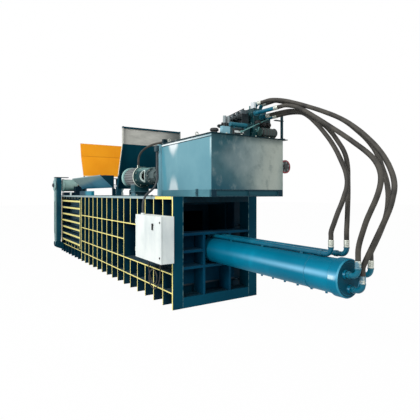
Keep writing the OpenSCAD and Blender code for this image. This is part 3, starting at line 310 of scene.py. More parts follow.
# Channel floor and shear blade: plain wear steel, polished by the bales.
# The brush marks run along the channel.
wear_steel = Finish("wear_steel")
drawn = wear_steel.noise(30.0, 5.0, (0.08, 1, 1), 0.7)
rust = wear_steel.step(wear_steel.noise(3.0, 6.0, (1, 1, 1), 0.7), 0.52, 0.75)
painted_end = wear_steel.step(wear_steel.axes()[0], -2.2, -1.9)
worn_face = wear_steel.mix(rust * 0.6, tone(150, 152, 150), tone(112, 84, 62))
wear_steel.set(Base_Color=wear_steel.mix(painted_end, worn_face, tone(2, 30, 44)),
               Metallic=(0.9 - rust * 0.5) * (1 - painted_end),
               Roughness=0.3 + drawn * 0.3 + rust * 0.2,
               Normal=wear_steel.bump(drawn, 0.2, 0.004, wear_steel.soft_edge(0.003)))
dress(wear_steel.material, "floor_plate", "shear_blade")


# End frame: face plates, sill and crossed thrust plates at the cylinder end.
# The plates are sprayed in the same teal, and a weld runs up the inner edge of each post, with a
# painted highlight along it.
def post_stripe(paint, base):
    """A broken pale line along the weld on the face, which is a painted highlight, and yellow outer
    edges.
    """
    x, y, _ = paint.axes()
    weld_y, weld_half, face_x = 0.654, 0.006, -0.004
    broken = paint.step(paint.noise(16.0, 4.0), 0.35, 0.6)
    weld_highlight = (abs(abs(y) - weld_y) < weld_half) * (x > face_x) * broken
    # The pale weld line is a painted highlight.
    base = paint.mix(weld_highlight * 0.7, base, tone(120, 158, 160))
    return yellow_edges(paint, base)


post_teal = enamel("end_frame_enamel", tone(1, 66, 85), tone(16, 88, 104), tone(0, 52, 70),
                   rough=0.5, gloss=0.05, dust=0.05, wear=0.15, stripe=post_stripe)
dress(post_teal, "left_end_post", "right_end_post")


def deep_shade(paint, base):
    """Painted shade, darker towards the backs of the cells."""
    x = paint.axes()[0]
    return paint.mix(paint.step(x, -0.12, -0.5) * 0.6, base, tone(0, 20, 36))


grid_teal = enamel("thrust_plate_enamel", tone(2, 68, 94), tone(10, 84, 106), tone(0, 42, 66),
                   rough=0.5, gloss=0.05, dust=0.05, stripe=deep_shade)
dress(grid_teal, "reaction_grid", "cylinder_mount_plate")


# Main cylinder: a long welded tube in gloss blue with a turned cap.
# Its tube carries two steel pipes in saddles, in the same blue.
def barrel_painted_light(paint, base):
    """Painted shade on top and near the frame, and a painted highlight along the flank, stronger
    towards the cap.
    """
    x = paint.axes()[0]
    up = paint.facing()[2]
    # Painted shade on the top of the tube.
    base = paint.mix(paint.step(up, 0.3, 0.95) * 0.6, base, tone(2, 72, 92))
    # Painted shade near the frame.
    base = paint.mix(paint.step(x, 1.1, 0.1) * 0.45, base, tone(0, 66, 92))
    # A painted highlight along the flank.
    flank_highlight = paint.step(abs(up - 0.19), 0.36, 0.0)
    cloud = 0.65 + paint.noise(3.0, 4.0, (0.5, 1, 1)) * 0.6
    highlight_reach = 0.03 + paint.step(x, 0.2, 2.3) * 0.62
    return paint.mix((flank_highlight * flank_highlight * cloud * highlight_reach).clamp(), base, tone(140, 200, 230))


cylinder_blue = enamel("cylinder_blue_enamel", tone(0, 120, 150), tone(4, 140, 170),
                       tone(0, 104, 132), rough=0.34, gloss=0.05, dust=0.05, peel=0.3,
                       stripe=barrel_painted_light)
dress(cylinder_blue, "cylinder_barrel")
pipe_blue = enamel("return_pipe_enamel", tone(2, 96, 120), tone(66, 156, 168), tone(0, 70, 92),
                   rough=0.3, gloss=0.3, dust=0.05)
dress(pipe_blue, "return_pipes")


def cap_painted_light(paint, base):
    """Painted light on the cap: the tube's painted shade and highlight, a painted highlight patch
    on the rim's near side, painted shade on the end face, and a painted highlight along the
    chamfer's near side.
    """
    x, y, _ = paint.axes()
    outward, _, up = paint.facing()
    base = barrel_painted_light(paint, base)
    # A painted highlight patch on the rim's near side.
    rubbed = paint.step(abs(up - 0.12), 0.14, 0.05) * (y < 0) * paint.step(x, 2.56, 2.5)
    base = paint.mix(rubbed * 0.65, base, tone(206, 232, 234))
    # Painted shade on the end face.
    base = paint.mix(paint.step(outward, 0.8, 0.95) * 0.9, base, tone(0, 56, 72))
    # A painted highlight along the chamfer's near side.
    chamfer_highlight = paint.step(outward, 0.3, 0.6) * paint.step(outward, 0.9, 0.78)
    return paint.mix(chamfer_highlight * paint.step(y, 0.02, -0.16) * 0.35, base, tone(84, 168, 190))


cap_blue = enamel("cylinder_cap_enamel", tone(2, 112, 142), tone(30, 146, 170), tone(0, 96, 124),
                  rough=0.4, gloss=0.05, dust=0.05, peel=0.3, stripe=cap_painted_light)
dress(cap_blue, "cylinder_cap")
elbow_blue = enamel("elbow_enamel", tone(6, 100, 122), tone(76, 164, 178), tone(0, 70, 90),
                    rough=0.35, gloss=0.25, dust=0.1)
dress(elbow_blue, "port_elbows", "outlet_pipes")
gland_steel = Finish("turned_steel")
turned_marks = gland_steel.noise(60.0, 3.0)
gland_steel.set(Base_Color=tone(176, 178, 176), Metallic=0.95, Roughness=0.22 + turned_marks * 0.25)
dress(gland_steel.material, "cylinder_gland")
rod_chrome = Finish("hard_chrome")
rod_chrome.set(Base_Color=tone(214, 216, 218), Metallic=1.0,
               Roughness=0.08 + rod_chrome.noise(80.0) * 0.12)
dress(rod_chrome.material, "piston_rod", "cross_rod")

# Pressure hoses: wire-braided rubber with a wrapped cover, pressed into plated ferrules.
# They hang in free bows from the valve block to the cylinder.
hose_rubber = Finish("hose_rubber")
cover = hose_rubber.noise(150.0, 3.0)
dusty = hose_rubber.noise(7.0, 5.0)
dulled = hose_rubber.mix(hose_rubber.step(dusty, 0.3, 0.7), tone(36, 35, 33), tone(66, 63, 57))
hose_rubber.set(Base_Color=dulled, Roughness=0.5 + dusty * 0.25, Specular_IOR_Level=0.3,
                Normal=hose_rubber.bump(cover, 0.35, 0.002))


def spot(x, y, z):
    """A point in machine millimetres, as the frame has it."""
    return Vector((x / 1000 + SHIFT, y / 1000, z / 1000))


def cord_along(name, route, diameter, material):
    """A smooth tube through the route's points, in machine millimetres."""
    ends = [spot(*point) for point in route]
    path = []
    for i in range(len(ends) - 1):
        path.append(ends[i])
        if 0 < i < len(ends) - 2:
            path.append((9 * (ends[i] + ends[i + 1]) - ends[i - 1] - ends[i + 2]) / 16)
        else:
            path.append((ends[i] + ends[i + 1]) / 2)
    path.append(ends[-1])
    line = bpy.data.curves.new(name, "CURVE")
    line.dimensions = "3D"
    line.bevel_depth = diameter / 2
    line.bevel_resolution = 6
    line.resolution_u = 6
    line.use_fill_caps = True
    spline = line.splines.new("BEZIER")
    spline.bezier_points.add(len(path) - 1)
    for point, place in zip(spline.bezier_points, path):
        point.co = place
        point.handle_left_type = point.handle_right_type = "AUTO"
    for end, inner in ((0, 1), (-1, -2)):
        point = spline.bezier_points[end]
        reach = (path[inner] - path[end]) / 3
        point.handle_left_type = point.handle_right_type = "FREE"
        point.handle_left = path[end] + (reach if end else -reach)
        point.handle_right = path[end] + (-reach if end else reach)
    line.materials.append(material)
    piece = bpy.data.objects.new(name + "_line", line)
    bpy.context.scene.collection.objects.link(piece)
    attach(piece, "frame")
    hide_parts(name)


pressure_hoses = {}
pressure_hoses["cap_hose_top"] = [
    (1135, 290, 3050), (1250, 290, 3050), (1570, 275, 2950), (2170, 210, 2590), (2550, 140, 2350),
    (2790, 80, 2180), (2905, 40, 2030), (2930, 10, 1890), (2895, -20, 1725), (2815, -50, 1520),
    (2740, -68, 1270), (2725, -70, 1160), (2725, -70, 1085)]
pressure_hoses["cap_hose_low"] = [
    (720, 330, 3205), (900, 330, 3205), (1210, 325, 3135), (1700, 305, 2950), (2260, 265, 2690),
    (2640, 220, 2415), (2880, 175, 2160), (3000, 135, 1930), (3010, 100, 1760), (2965, 65, 1565),
    (2790, 16, 1150), (2725, 10, 1000), (2725, 10, 915)]
pressure_hoses["cap_hose_far"] = [
    (720, 440, 3205), (900, 440, 3205), (1200, 435, 3115), (1600, 425, 2980), (2155, 400, 2720),
    (2590, 345, 2365), (2760, 300, 2090), (2860, 255, 1835), (2870, 205, 1560), (2775, 162, 1270),
    (2725, 150, 1150), (2725, 150, 1070)]
pressure_hoses["pipe_hose_left"] = [
    (845, 400, 3000), (1000, 400, 3000), (1270, 398, 2985), (1510, 390, 2910), (1755, 360, 2745),
    (2115, 280, 2400), (2400, 170, 2000), (2425, 100, 1780), (2385, 35, 1580), (2332, -20, 1345),
    (2332, -20, 1265)]
pressure_hoses["pipe_hose_right"] = [
    (845, 540, 3000), (1000, 540, 3000), (1200, 530, 2985), (1420, 508, 2935), (1660, 480, 2810),
    (1920, 440, 2630), (2240, 350, 2275), (2340, 272, 1960), (2405, 180, 1620), (2437, 120, 1350),
    (2437, 120, 1265)]
pressure_hose_d = 0.058
for name, route in pressure_hoses.items():
    cord_along(name, route, pressure_hose_d, hose_rubber.material)
plated = Finish("zinc_plate")
plated.set(Base_Color=plated.mix(plated.noise(20.0), tone(150, 156, 148), tone(196, 200, 190)),
           Metallic=0.55, Roughness=0.35 + plated.noise(60.0) * 0.2, Normal=plated.soft_edge(0.004))
dress(plated.material, "lid_bolts")
crimped = Finish("ferrule_zinc")
sleeve_x, sleeve_y, sleeve_z = crimped.axes()
cap_from, near_side = 2.6, 0.06
spray = crimped.step(crimped.noise(16.0) + sleeve_z * 0.4 - 0.4, 0.62, 0.44)
oversprayed = (sleeve_x > cap_from) * (sleeve_y < near_side) * spray
zinc = crimped.mix(crimped.noise(20.0), tone(158, 164, 154), tone(206, 209, 198))
crimped.set(Base_Color=crimped.mix(oversprayed * 0.85, zinc, tone(22, 104, 128)),
            Metallic=0.55 - oversprayed * 0.5, Roughness=0.35 + crimped.noise(60.0) * 0.2,
            Normal=crimped.soft_edge(0.004))


def turn_on(form, start, along, profile, sides=32):
    """Adds a turned shape: (radius, distance) pairs in mm, spun about a line from start."""
    axis = Vector(along).normalized()
    across = axis.orthogonal().normalized()
    base = spot(*start)
    ring = [form.verts.new(base + across * r / 1000 + axis * d / 1000) for r, d in profile]
    lines = [form.edges.new(pair) for pair in zip(ring, ring[1:])]
    bmesh.ops.spin(form, geom=ring + lines, cent=base, axis=axis, angle=2 * math.pi, steps=sides,
                   use_merge=True, use_duplicate=False)


def keep_piece(name, form, material, body="frame", replaced=()):
    """Closes the mesh, shades it and rides it on its body."""
    bmesh.ops.remove_doubles(form, verts=form.verts, dist=0.00002)
    bmesh.ops.holes_fill(form, edges=form.edges, sides=0)
    bmesh.ops.recalc_face_normals(form, faces=form.faces)
    shape = bpy.data.meshes.new(name)
    form.to_mesh(shape)
    form.free()
    shape.shade_smooth()
    shape.set_sharp_from_angle(angle=math.radians(35))
    shape.materials.append(material)
    piece = bpy.data.objects.new(name, shape)
    bpy.context.scene.collection.objects.link(piece)
    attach(piece, body)
    if replaced:
        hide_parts(*replaced)


def hex_bolts(form, places, along, size, height):
    """Hexagon heads with a chamfered top, standing on a face."""
    for place in places:
        turn_on(form, place, along, [(0, 0), (size, 0), (size, height * 0.75),
                                     (size * 0.82, height), (0, height)], 6)


def ring_of(count, centre, radius, first=0.0):
    """Points round a circle that faces along the machine."""
    x, y, z = centre
    turns = [first + 2 * math.pi * i / count for i in range(count)]
    return [(x, y + radius * math.cos(a), z + radius * math.sin(a)) for a in turns]


def bent_pipe(form, start, centre, axis, turn, thick):
    """Adds a bent pipe: a circle at start, swung about an axis through centre."""
    pivot = spot(*centre)
    heading = Vector(axis).normalized().cross(spot(*start) - pivot)
    stand = Matrix.Translation(spot(*start)) @ heading.to_track_quat("Z", "Y").to_matrix().to_4x4()
    ring = bmesh.ops.create_circle(form, cap_ends=False, segments=12, radius=thick / 2000,
                                   matrix=stand)["verts"]
    loop = list({edge for vert in ring for edge in vert.link_edges})
    bmesh.ops.spin(form, geom=ring + loop, cent=pivot, axis=Vector(axis), angle=math.radians(turn),
                   steps=max(8, int(turn / 8)), use_merge=turn == 360, use_duplicate=False)


ferrules = bmesh.new()
sleeve = [(0, 0), (30, 0), (33, 3), (33, 13), (30, 16), (29.5, 17), (29.5, 21), (32, 23), (33, 26),
          (33, 33), (31, 35), (31, 38), (33, 40), (33, 47), (31, 49), (31, 52), (33, 54), (33, 61),
          (31, 63), (31, 66), (33, 68), (33, 80), (30, 85), (0, 85)]
sleeve_length = sleeve[-1][1]
for route in pressure_hoses.values():
    x, y, z = route[0]
    turn_on(ferrules, (x - sleeve_length, y, z), (1, 0, 0), sleeve)
    x, y, z = route[-1]
    turn_on(ferrules, (x, y, z - sleeve_length), (0, 0, 1), sleeve)
keep_piece("hose_ferrules_crimped", ferrules, crimped.material,
           replaced=("hose_ferrules",))


# Hopper: folded plate walls over the throat, orange on the inside.
# The upright band along the top edge of the rear wall is primer grey, and its cut edge is bare.
def rear_band(paint, base):
    """The primer band darkens towards the far side, and the plate's leaning edge is bare."""
    x, y, z = paint.axes()
    brushed = paint.noise(4.0, 4.0, (0.3, 1, 3), 0.6)
    primer = paint.mix(brushed, tone(132, 132, 126), tone(206, 205, 196))
    primer = paint.mix(paint.step(y, 0.1, 0.66) * 0.75, primer, tone(64, 76, 78))
    band_low, band_top = 2.852, 3.184
    base = paint.mix((z > band_low) * (z < band_top), base, primer)
    edge_y, edge_width, edge_low, edge_top = 0.6862, 0.03, 2.19, 2.86
    slope, foot_x = 0.3727, -3.0
    lean = (z - DECK) * slope + foot_x
    cut = (abs(y) > edge_y) * (x - lean < edge_width) * (z > edge_low) * (z < edge_top)
    return paint.mix(cut, base, tone(232, 220, 192))


hopper_dark = enamel("hopper_enamel", tone(1, 60, 74), tone(10, 76, 90), tone(0, 48, 62),
                     rough=0.5, gloss=0.06, dust=0.05, stripe=rear_band)
dress(hopper_dark, "hopper_rear_wall")


def orange_bend(paint, base):
    """Painted shade along the fold, a bare lower lip, and the legs left in teal."""
    z = paint.axes()[2]
    fold_z, lip_z, leg_z = 2.856, 2.298, 2.279
    # Painted shade along the fold.
    fold_shade = paint.step(abs(z - fold_z), 0.016, 0.004)
    base = paint.mix(fold_shade * 0.55, base, tone(176, 106, 12))
    base = paint.mix((z < lip_z) * 0.7, base, tone(250, 222, 160))
    return paint.mix(z < leg_z, base, tone(2, 44, 58))


hopper_orange = enamel("hopper_orange_enamel", tone(236, 154, 26), tone(244, 170, 48),
                       tone(228, 142, 18), rough=0.5, gloss=0.1, dust=0.1, stripe=orange_bend)
dress(hopper_orange, "hopper_front_wall")


def flare_corner(paint, base):
    """Greyed along the outer edge, more so towards the exit, with painted shade on the corner plate
    and dark legs.
    """
    x, y, z = paint.axes()
    inner_y, rear_x, shaded_corner_x, leg_z = 0.705, -3.1, -3.1035, 1.925
    grey = paint.step(abs(y) - inner_y - (x - rear_x) * 0.07, 0.2, 0.3)
    edge_grey = paint.mix(paint.noise(5.0), tone(108, 140, 138), tone(148, 170, 164))
    base = paint.mix(grey * 0.8, base, edge_grey)
    # Painted shade on the corner plate.
    base = paint.mix(x > shaded_corner_x, base, tone(1, 44, 58))
    return paint.mix(z < leg_z, base, tone(2, 36, 50))


flare_blue = enamel("flare_enamel", tone(48, 124, 150), tone(92, 152, 170), tone(28, 100, 126),
                    stripe=flare_corner)
dress(flare_blue, "left_flare", "right_flare")


# Oil tank: a welded box on a channel frame, lighter than the body.
# Its sides carry painted reflections, highlights and shade: blue along the length, greyer across
# the end.
tank_top = box_of("oil_tank")[1][2]
tank_width, tank_height, tank_side = 1.36, 0.79, -0.64


def round_patch(paint, over, above):
    """A soft round patch, one in the middle."""
    return paint.step(over * over + above * above, 1.0, 0.1)


def tank_painted_reflections(paint, base):
    """Painted reflections and shade on the tank's end, with random flecks; along its side painted
    highlights, a painted reflection, painted shade under the lid and a painted highlight on its
    edge.
    """
    x, y, z = paint.axes()
    front = paint.step(paint.facing()[0], 0.6, 0.9)
    drift = paint.noise(2.4, 4.0, (1, 1, 0.8))
    across = (y - tank_side) / tank_width + drift * 0.22 - 0.11
    up = (z - (tank_top - tank_height)) / tank_height
    lift = up + drift * 0.2 - 0.1
    # The end's colour, its clouds and its darker corners are a painted reflection.
    end = paint.mix(paint.step(across, 0.18, 0.95), tone(60, 94, 102), tone(172, 180, 170))
    dark_reflection = round_patch(paint, (across - 0.18) / 0.22, (lift - 0.85) / 0.3)
    pale_reflection = round_patch(paint, (across - 0.4) / 0.36, (lift - 0.58) / 0.4)
    end = paint.mix(dark_reflection * 0.7, end, tone(30, 74, 84))
    end = paint.mix(pale_reflection * 0.3, end, tone(146, 158, 157))
    end = paint.mix(paint.step(up + across * 0.55, 0.45, 0.05) * 0.85, end, tone(10, 68, 84))
    end = paint.mix(paint.step(across - up * 0.14, 0.8, 1.02) * 0.6, end, tone(84, 112, 114))
    # Painted shade under the lid.
    end = paint.mix(paint.step(up, 0.84, 0.99) * 0.6, end, tone(26, 58, 64))
    mottle = paint.noise(6.0, 5.0, (1, 1, 0.8), 0.62)
    end = paint.mix(paint.step(mottle, 0.5, 0.76) * 0.24, end, tone(178, 188, 182))
    end = paint.mix(paint.step(mottle, 0.5, 0.28) * 0.36, end, tone(44, 74, 80))
    along = x + drift * 0.25
    reach = abs(up - 0.5) * 0.42
    # A painted glow of reflected light on the side.
    glow = paint.step(abs(along + 0.22) - reach, 0.02, -0.1) * paint.step(abs(up - 0.5), 0.12, 0.42)
    # A painted teal reflection sweeping down the side.
    swept_reflection = paint.step(abs(along + 0.53 + up * 0.1), 0.09, 0.02)
    side = paint.mix(glow * (0.5 + paint.step(up, 0.4, 0.6) * 0.3), base, tone(220, 226, 226))
    side = paint.mix(swept_reflection * 0.45, side, tone(44, 126, 144))
    # A painted highlight near the end corner.
    corner = paint.step(x, 0.72, 0.77) * paint.step(up, 0.5, 0.8) * paint.step(up, 0.96, 0.88)
    side = paint.mix(corner * 0.6, side, tone(196, 218, 220))
    # Painted shade under the lid, and a painted highlight on the edge above it.
    lid_shade_z, lip_z, lip_top = tank_top - 0.046, tank_top - 0.032, tank_top - 0.006
    lid_edge_highlight = (z > lip_z) * (z < lip_top) * paint.step(x, 1.3, -0.5)
    side = paint.mix((z > lid_shade_z) * (z < lip_z), side, tone(22, 52, 60))
    side = paint.mix(lid_edge_highlight, side, tone(232, 240, 240))
    both = paint.mix(front, side, end)
    duct_y, outlet_y = tank_side - 0.0025, tank_side - 0.055
    both = paint.mix(y < duct_y, both, tone(120, 166, 178))
    return paint.mix(y < outlet_y, both, tone(40, 62, 70))


tank_paint = enamel("tank_enamel", tone(98, 143, 154), tone(122, 165, 172), tone(82, 130, 143),
                    rough=0.4, gloss=0.15, coat=0.03, cloud=1.4, stripe=tank_painted_reflections)
dress(tank_paint, "oil_tank")


def base_posts(paint, base):
    """A darker end rail with a dark face, and a dark bracket with the drain cock."""
    x, y, _ = paint.axes()
    rail_x, face_x, bracket_y = 0.735, 0.7785, tank_side - 0.0015
    base = paint.mix(x > rail_x, base, tone(28, 76, 88))
    base = paint.mix(y < bracket_y, base, tone(26, 66, 78))
    return paint.mix(x > face_x, base, tone(2, 40, 54))


base_paint = enamel("tank_base_enamel", tone(84, 132, 142), tone(126, 168, 176), tone(56, 104, 116),
                    gloss=0.15, stripe=base_posts)
dress(base_paint, "tank_base")
lid_teal = enamel("tank_lid_enamel", tone(6, 42, 50), tone(34, 78, 86), tone(2, 30, 38), dust=0.3)
dress(lid_teal, "tank_lid")
eyes = bmesh.new()
lid_plate, eye_rise, eye_radius = 12, 37, 23
lid_top = 1000 * tank_top + lid_plate
for x in (338, -560):
    for y in (-608, 650):
        turn_on(eyes, (x, y, lid_top), (0, 0, 1), [(0, 0), (25, 0), (25, 9), (15, 16), (0, 16)])
        bent_pipe(eyes, (x, y + eye_radius, lid_top + eye_rise), (x, y, lid_top + eye_rise),
                  (1, 0, 0), 360, 14)
keep_piece("lid_lifting_eyes", eyes, plated.material)

# Valve block: machined manifold in teal with black solenoid coils and filters.
# Steel stubs lead from it to the hoses, and small valves stand beside it on the lid.
black = Finish("black_moulding")
black.set(Base_Color=black.mix(black.noise(25.0), tone(20, 21, 22), tone(44, 45, 46)),
          Roughness=0.45 + black.noise(90.0) * 0.2, Specular_IOR_Level=0.3,
          Normal=black.soft_edge(0.004))
dress(black.material, "breather_cap", "door_handle")


def manifold_parts(paint, base):
    """Bare clamp block on top, and the accumulator and pressure switch in lighter coats."""
    x, y, z = paint.axes()
    bottle_y, bottle_z = 0.1, 2.78
    switch_x, switch_y, clamp_z = 0.672, -0.27, 3.1312
    base = paint.mix((y < bottle_y) * (z > bottle_z), base, tone(10, 90, 106))
    base = paint.mix((x > switch_x) * (y < switch_y), base, tone(122, 170, 184))
    return paint.mix(z > clamp_z, base, tone(196, 202, 204))


block_teal = enamel("valve_block_enamel", tone(8, 62, 68), tone(70, 140, 140), tone(2, 34, 40),
                    rough=0.35, gloss=0.3, stripe=manifold_parts)
dress(block_teal, "valve_manifold")


def coil_marks(paint, base):
    """Teal sub-plates and grey plugs on the row, bare stems, and pale faces on the small valves."""
    x, y, z = paint.axes()
    row_y, plate_z, plug_z = 0.03, 2.826, 2.972
    climb = (x - 0.01) * 0.118
    base = paint.mix((y > row_y) * (z < plate_z + climb), base, tone(8, 58, 66))
    base = paint.mix((y > row_y) * (z > plug_z + climb), base, tone(70, 80, 84))
    stem_y, stem_z, stem_x = -0.1, 2.87, 0.6
    base = paint.mix((y < stem_y) * (z > stem_z) * (x < stem_x), base, tone(128, 140, 142))
    face_x, face_z, face_half = 0.7232, 2.712, 0.016
    return paint.mix((x > face_x) * (abs(z - face_z) < face_half), base, tone(206, 214, 212))


coil_black = enamel("coil_moulding", tone(20, 34, 38), tone(70, 92, 96), tone(10, 18, 22),
                    rough=0.4, gloss=0.3, dust=0.2, cloud=6.0, stripe=coil_marks)
dress(coil_black, "solenoid_valves")
filter_black = Finish("filter_housing")
fx, fy, fz = filter_black.axes()
element_y, element_z, end_x, inner_y = 0.832, 2.23, 0.72, 0.72
side, rise = fy - element_y, fz - element_z
radius = (side * side + rise * rise).root()
angle = side.math("ARCTAN2", rise, side)
front = (fx > end_x) * (fy > inner_y)
spokes = ((angle * 6.0).wave() > 0.55) * (radius > 0.045) * (radius < 0.088)
red_ring = (radius > 0.09) * (radius < 0.104)
housing = filter_black.mix(filter_black.noise(18.0), tone(22, 26, 28), tone(52, 56, 56))
bands = (fy < inner_y) * ((fy * 110.0).wave() > 0.1)
housing = filter_black.mix(bands * 0.8, housing, tone(26, 58, 54))
housing = filter_black.mix(front * spokes * 0.7, housing, tone(120, 132, 134))
housing = filter_black.mix(front * red_ring * 0.85, housing, tone(164, 34, 48))
filter_black.set(Base_Color=housing, Roughness=0.4 + filter_black.noise(70.0) * 0.2,
                 Normal=filter_black.soft_edge(0.004))
dress(filter_black.material, "oil_filters")
pipe_paint = enamel("small_pipe_enamel", tone(104, 150, 146), tone(170, 196, 190),
                    tone(60, 104, 104))


def straight_rod(form, start, along, radius, length, sides):
    """Adds a plain round rod."""
    turn_on(form, start, along, [(0, 0), (radius, 0), (radius, length), (0, length)], sides)


plumbing = bmesh.new()
block_x, block_top = 620, 3130
pipe_low, pipe_top = Vector((742, -72, lid_top + 59)), Vector((652, 526, lid_top + 321))
climb = pipe_top - pipe_low
straight_rod(plumbing, pipe_low, climb, 9, climb.length, 16)
hex_bolts(plumbing, [pipe_low - Vector((18, 0, 0))], (1, 0, 0), 19, 30)
turn_on(plumbing, (block_x, pipe_top.y, pipe_top.z), (1, 0, 0),
        [(0, 0), (24, 0), (24, 8), (15, 10), (15, 46), (0, 46)], 20)
bent_pipe(plumbing, (690, 250, lid_top + 95), (690, 250, lid_top + 155), (0, 1, 0), -90, 16)
turn_on(plumbing, (470, 300, block_top - 2), (0, 0, 1),
        [(0, 0), (17, 0), (17, 18), (12, 20), (12, 60), (6, 66), (0, 66)], 20)
plug_row = [(block_x, y, lid_top + 138) for y in (300, 350, 420, 470, 540, 585)]
hex_bolts(plumbing, plug_row, (1, 0, 0), 15, 12)
keep_piece("valve_plumbing", plumbing, pipe_paint)
cartridges = bmesh.new()
cartridge = [(0, 0), (42, 0), (44, 4), (44, 26), (34, 30), (34, 62), (30, 66), (16, 66), (16, 80),
             (0, 80)]
for y, rise in ((316, 243), (420, 223), (528, 223)):
    turn_on(cartridges, (block_x, y, lid_top + rise), (1, 0, 0), cartridge)
coil_knob = [(0, 0), (14, 0), (14, 10), (9, 12), (9, 20), (0, 20)]
coil_x, coil_y, coil_top = 52, 125, lid_top + 385
coil_pitch, coil_step = 118, 14
for coil in range(5):
    place = (coil_x + coil_pitch * coil, coil_y, coil_top - 1 + coil_step * coil)
    turn_on(cartridges, place, (0, 0, 1), coil_knob, 16)
rod_start = (coil_x - 22, coil_y, coil_top + 13)
straight_rod(cartridges, rod_start, (coil_pitch, 0, coil_step), 8, 512, 14)
bent_pipe(cartridges, (712, 596, lid_top + 39), (712, 596, lid_top + 99), (1, 0, 0), 190, 20)
keep_piece("valve_cartridges", cartridges, black.material)

# Motor and pump set: finned motor, bell housing and piston pump in line on the deck.
# The castings are painted a dull light blue grey, with a bare flange.
motor_low, motor_high = box_of("motor")
bell_low, bell_high = box_of("bellhousing")
fan_x, bell_x, pump_x = [1000 * (x - SHIFT) for x in (motor_low[0], motor_high[0], bell_high[0])]
motor_y, motor_z = [500 * (bell_low[i] + bell_high[i]) for i in (1, 2)]


def motor_bands(paint, base):
    """A pale fan cover, a bare flange and painted shade on the underside."""
    x, _, z = paint.axes()
    flange_depth, cowl_depth = 0.062, 0.111
    flange = (x > bell_x / 1000 - flange_depth) * (x < bell_x / 1000 + 2 * SKIN)
    rim = x < fan_x / 1000 + cowl_depth
    cowl = paint.mix(paint.noise(5.0), tone(84, 140, 142), tone(170, 206, 198))
    base = paint.mix(rim, base, cowl)
    bare = paint.mix(paint.noise(30.0), tone(196, 208, 192), tone(232, 238, 222))
    face = paint.step(paint.facing()[0], 0.5, 0.8)
    # Painted shade on the underside.
    base = paint.mix(paint.step(z, 2.0, 1.95), base, tone(26, 74, 82))
    return paint.mix(flange, base, paint.mix(face, bare, tone(20, 56, 58)))


motor_paint = enamel("motor_enamel", tone(132, 134, 134), tone(180, 184, 180), tone(92, 100, 104),
                     rough=0.5, gloss=0.15, stripe=motor_bands)
dress(motor_paint, "motor")


def window_rim(paint, base):
    """A painted highlight on the upper side, painted shade on the underside, and a machined rim
    round the windows.
    """
    x, y, z = paint.axes()
    # A painted highlight on the upper side.
    base = paint.mix(paint.step(z, 2.2, 2.27) * 0.6, base, tone(132, 172, 168))
    # Painted shade on the underside.
    base = paint.mix(paint.step(z, 2.09, 2.0) * 0.7, base, tone(8, 44, 46))
    window_x, window_depth = 0.32, 0.1
    over, above = x - bell_x / 1000 - window_x, z - motor_z / 1000
    out = over * over + above * above
    rim = paint.step(out, 0.0142, 0.0128) * (abs(y - motor_y / 1000) > window_depth)
    return paint.mix(rim * 0.85, base, tone(190, 206, 200))


bell_paint = enamel("bell_enamel", tone(34, 80, 82), tone(120, 154, 150), tone(14, 48, 52),
                    edge=0.012, wear=0.9, stripe=window_rim)
dress(bell_paint, "bellhousing")
foot_paint = enamel("pedestal_enamel", tone(84, 128, 140), tone(140, 170, 176), tone(30, 60, 72))
dress(foot_paint, "motor_base")
dress(gland_steel.material, "drive_coupling")
pump_paint = enamel("pump_enamel", tone(110, 124, 122), tone(164, 172, 168), tone(58, 74, 76),
                    edge=0.01)
dress(pump_paint, "main_pump")
pump_hose_d = 0.04
cord_along("pump_hose", [
    (-1694, -690, 2342), (-1694, -690, 2400), (-1680, -688, 2480), (-1615, -680, 2565),
    (-1490, -660, 2630), (-1330, -630, 2675), (-1160, -595, 2700), (-1010, -568, 2705),
    (-945, -560, 2705), (-880, -560, 2705)], pump_hose_d, hose_rubber.material)
set_bolts = bmesh.new()
hex_bolts(set_bolts, ring_of(8, (bell_x + 25, motor_y, motor_z), 172, 0.39), (1, 0, 0), 10, 9)
hex_bolts(set_bolts, ring_of(8, (pump_x + 35, motor_y, motor_z), 134), (1, 0, 0), 11, 10)
foot_top = 1000 * DECK + 16
foot_bolts = [(x, motor_y + y, foot_top) for x in (-1940, -1612) for y in (-155, 155)]
hex_bolts(set_bolts, foot_bolts, (0, 0, 1), 15, 13)
keep_piece("pump_set_bolts", set_bolts, plated.material)
grille = bmesh.new()
hub, hub_radius, spoke_length = (fan_x - 1, motor_y, motor_z), 30, 128
for reach in (45, 85, 125, 158):
    bent_pipe(grille, (hub[0], hub[1] + reach, hub[2]), hub, (1, 0, 0), 360, 7)
for point in ring_of(8, hub, hub_radius):
    straight_rod(grille, point, Vector(point) - Vector(hub), 3, spoke_length, 10)
turn_on(grille, (fan_x + 2, motor_y, motor_z), (-1, 0, 0),
        [(0, 0), (34, 0), (34, 4), (28, 7), (0, 7)])
keep_piece("motor_fan_grille", grille, plated.material)

# Control cabinet: folded sheet steel in light grey powder coat, with a hinged door.
# A conduit comes down to it from the tank's cable duct, and spare wire hangs under it.
powder = Finish("cabinet_powder_coat")
speck = powder.noise(420.0, 2.0)
smear = powder.noise(3.0, 5.0, (1, 1, 0.5))
handled = powder.mix(powder.step(smear, 0.35, 0.75), tone(222, 227, 223), tone(196, 204, 203))
powder.set(Base_Color=handled, Roughness=0.5 + smear * 0.12, Specular_IOR_Level=0.25,
           Normal=powder.bump(speck, 0.1, 0.002, powder.soft_edge(0.006)))
dress(powder.material, "cabinet_body", "cabinet_door")
dress(plated.material, "switchgear_plate")
locks = bmesh.new()
lock_x, door_face = 58, -1085
for z in (830, 1360):
    turn_on(locks, (lock_x, door_face, z), (0, -1, 0),
            [(0, 0), (17, 0), (17, 4), (13, 7), (6, 7), (6, 4), (0, 4)])
keep_piece("door_locks", locks, black.material, body="cabinet_door")
conduit_black = Finish("corrugated_conduit")
_, conduit_y, conduit_z = conduit_black.axes()
rings = ((conduit_z * 0.72 - conduit_y * 0.6) * 420.0).wave()
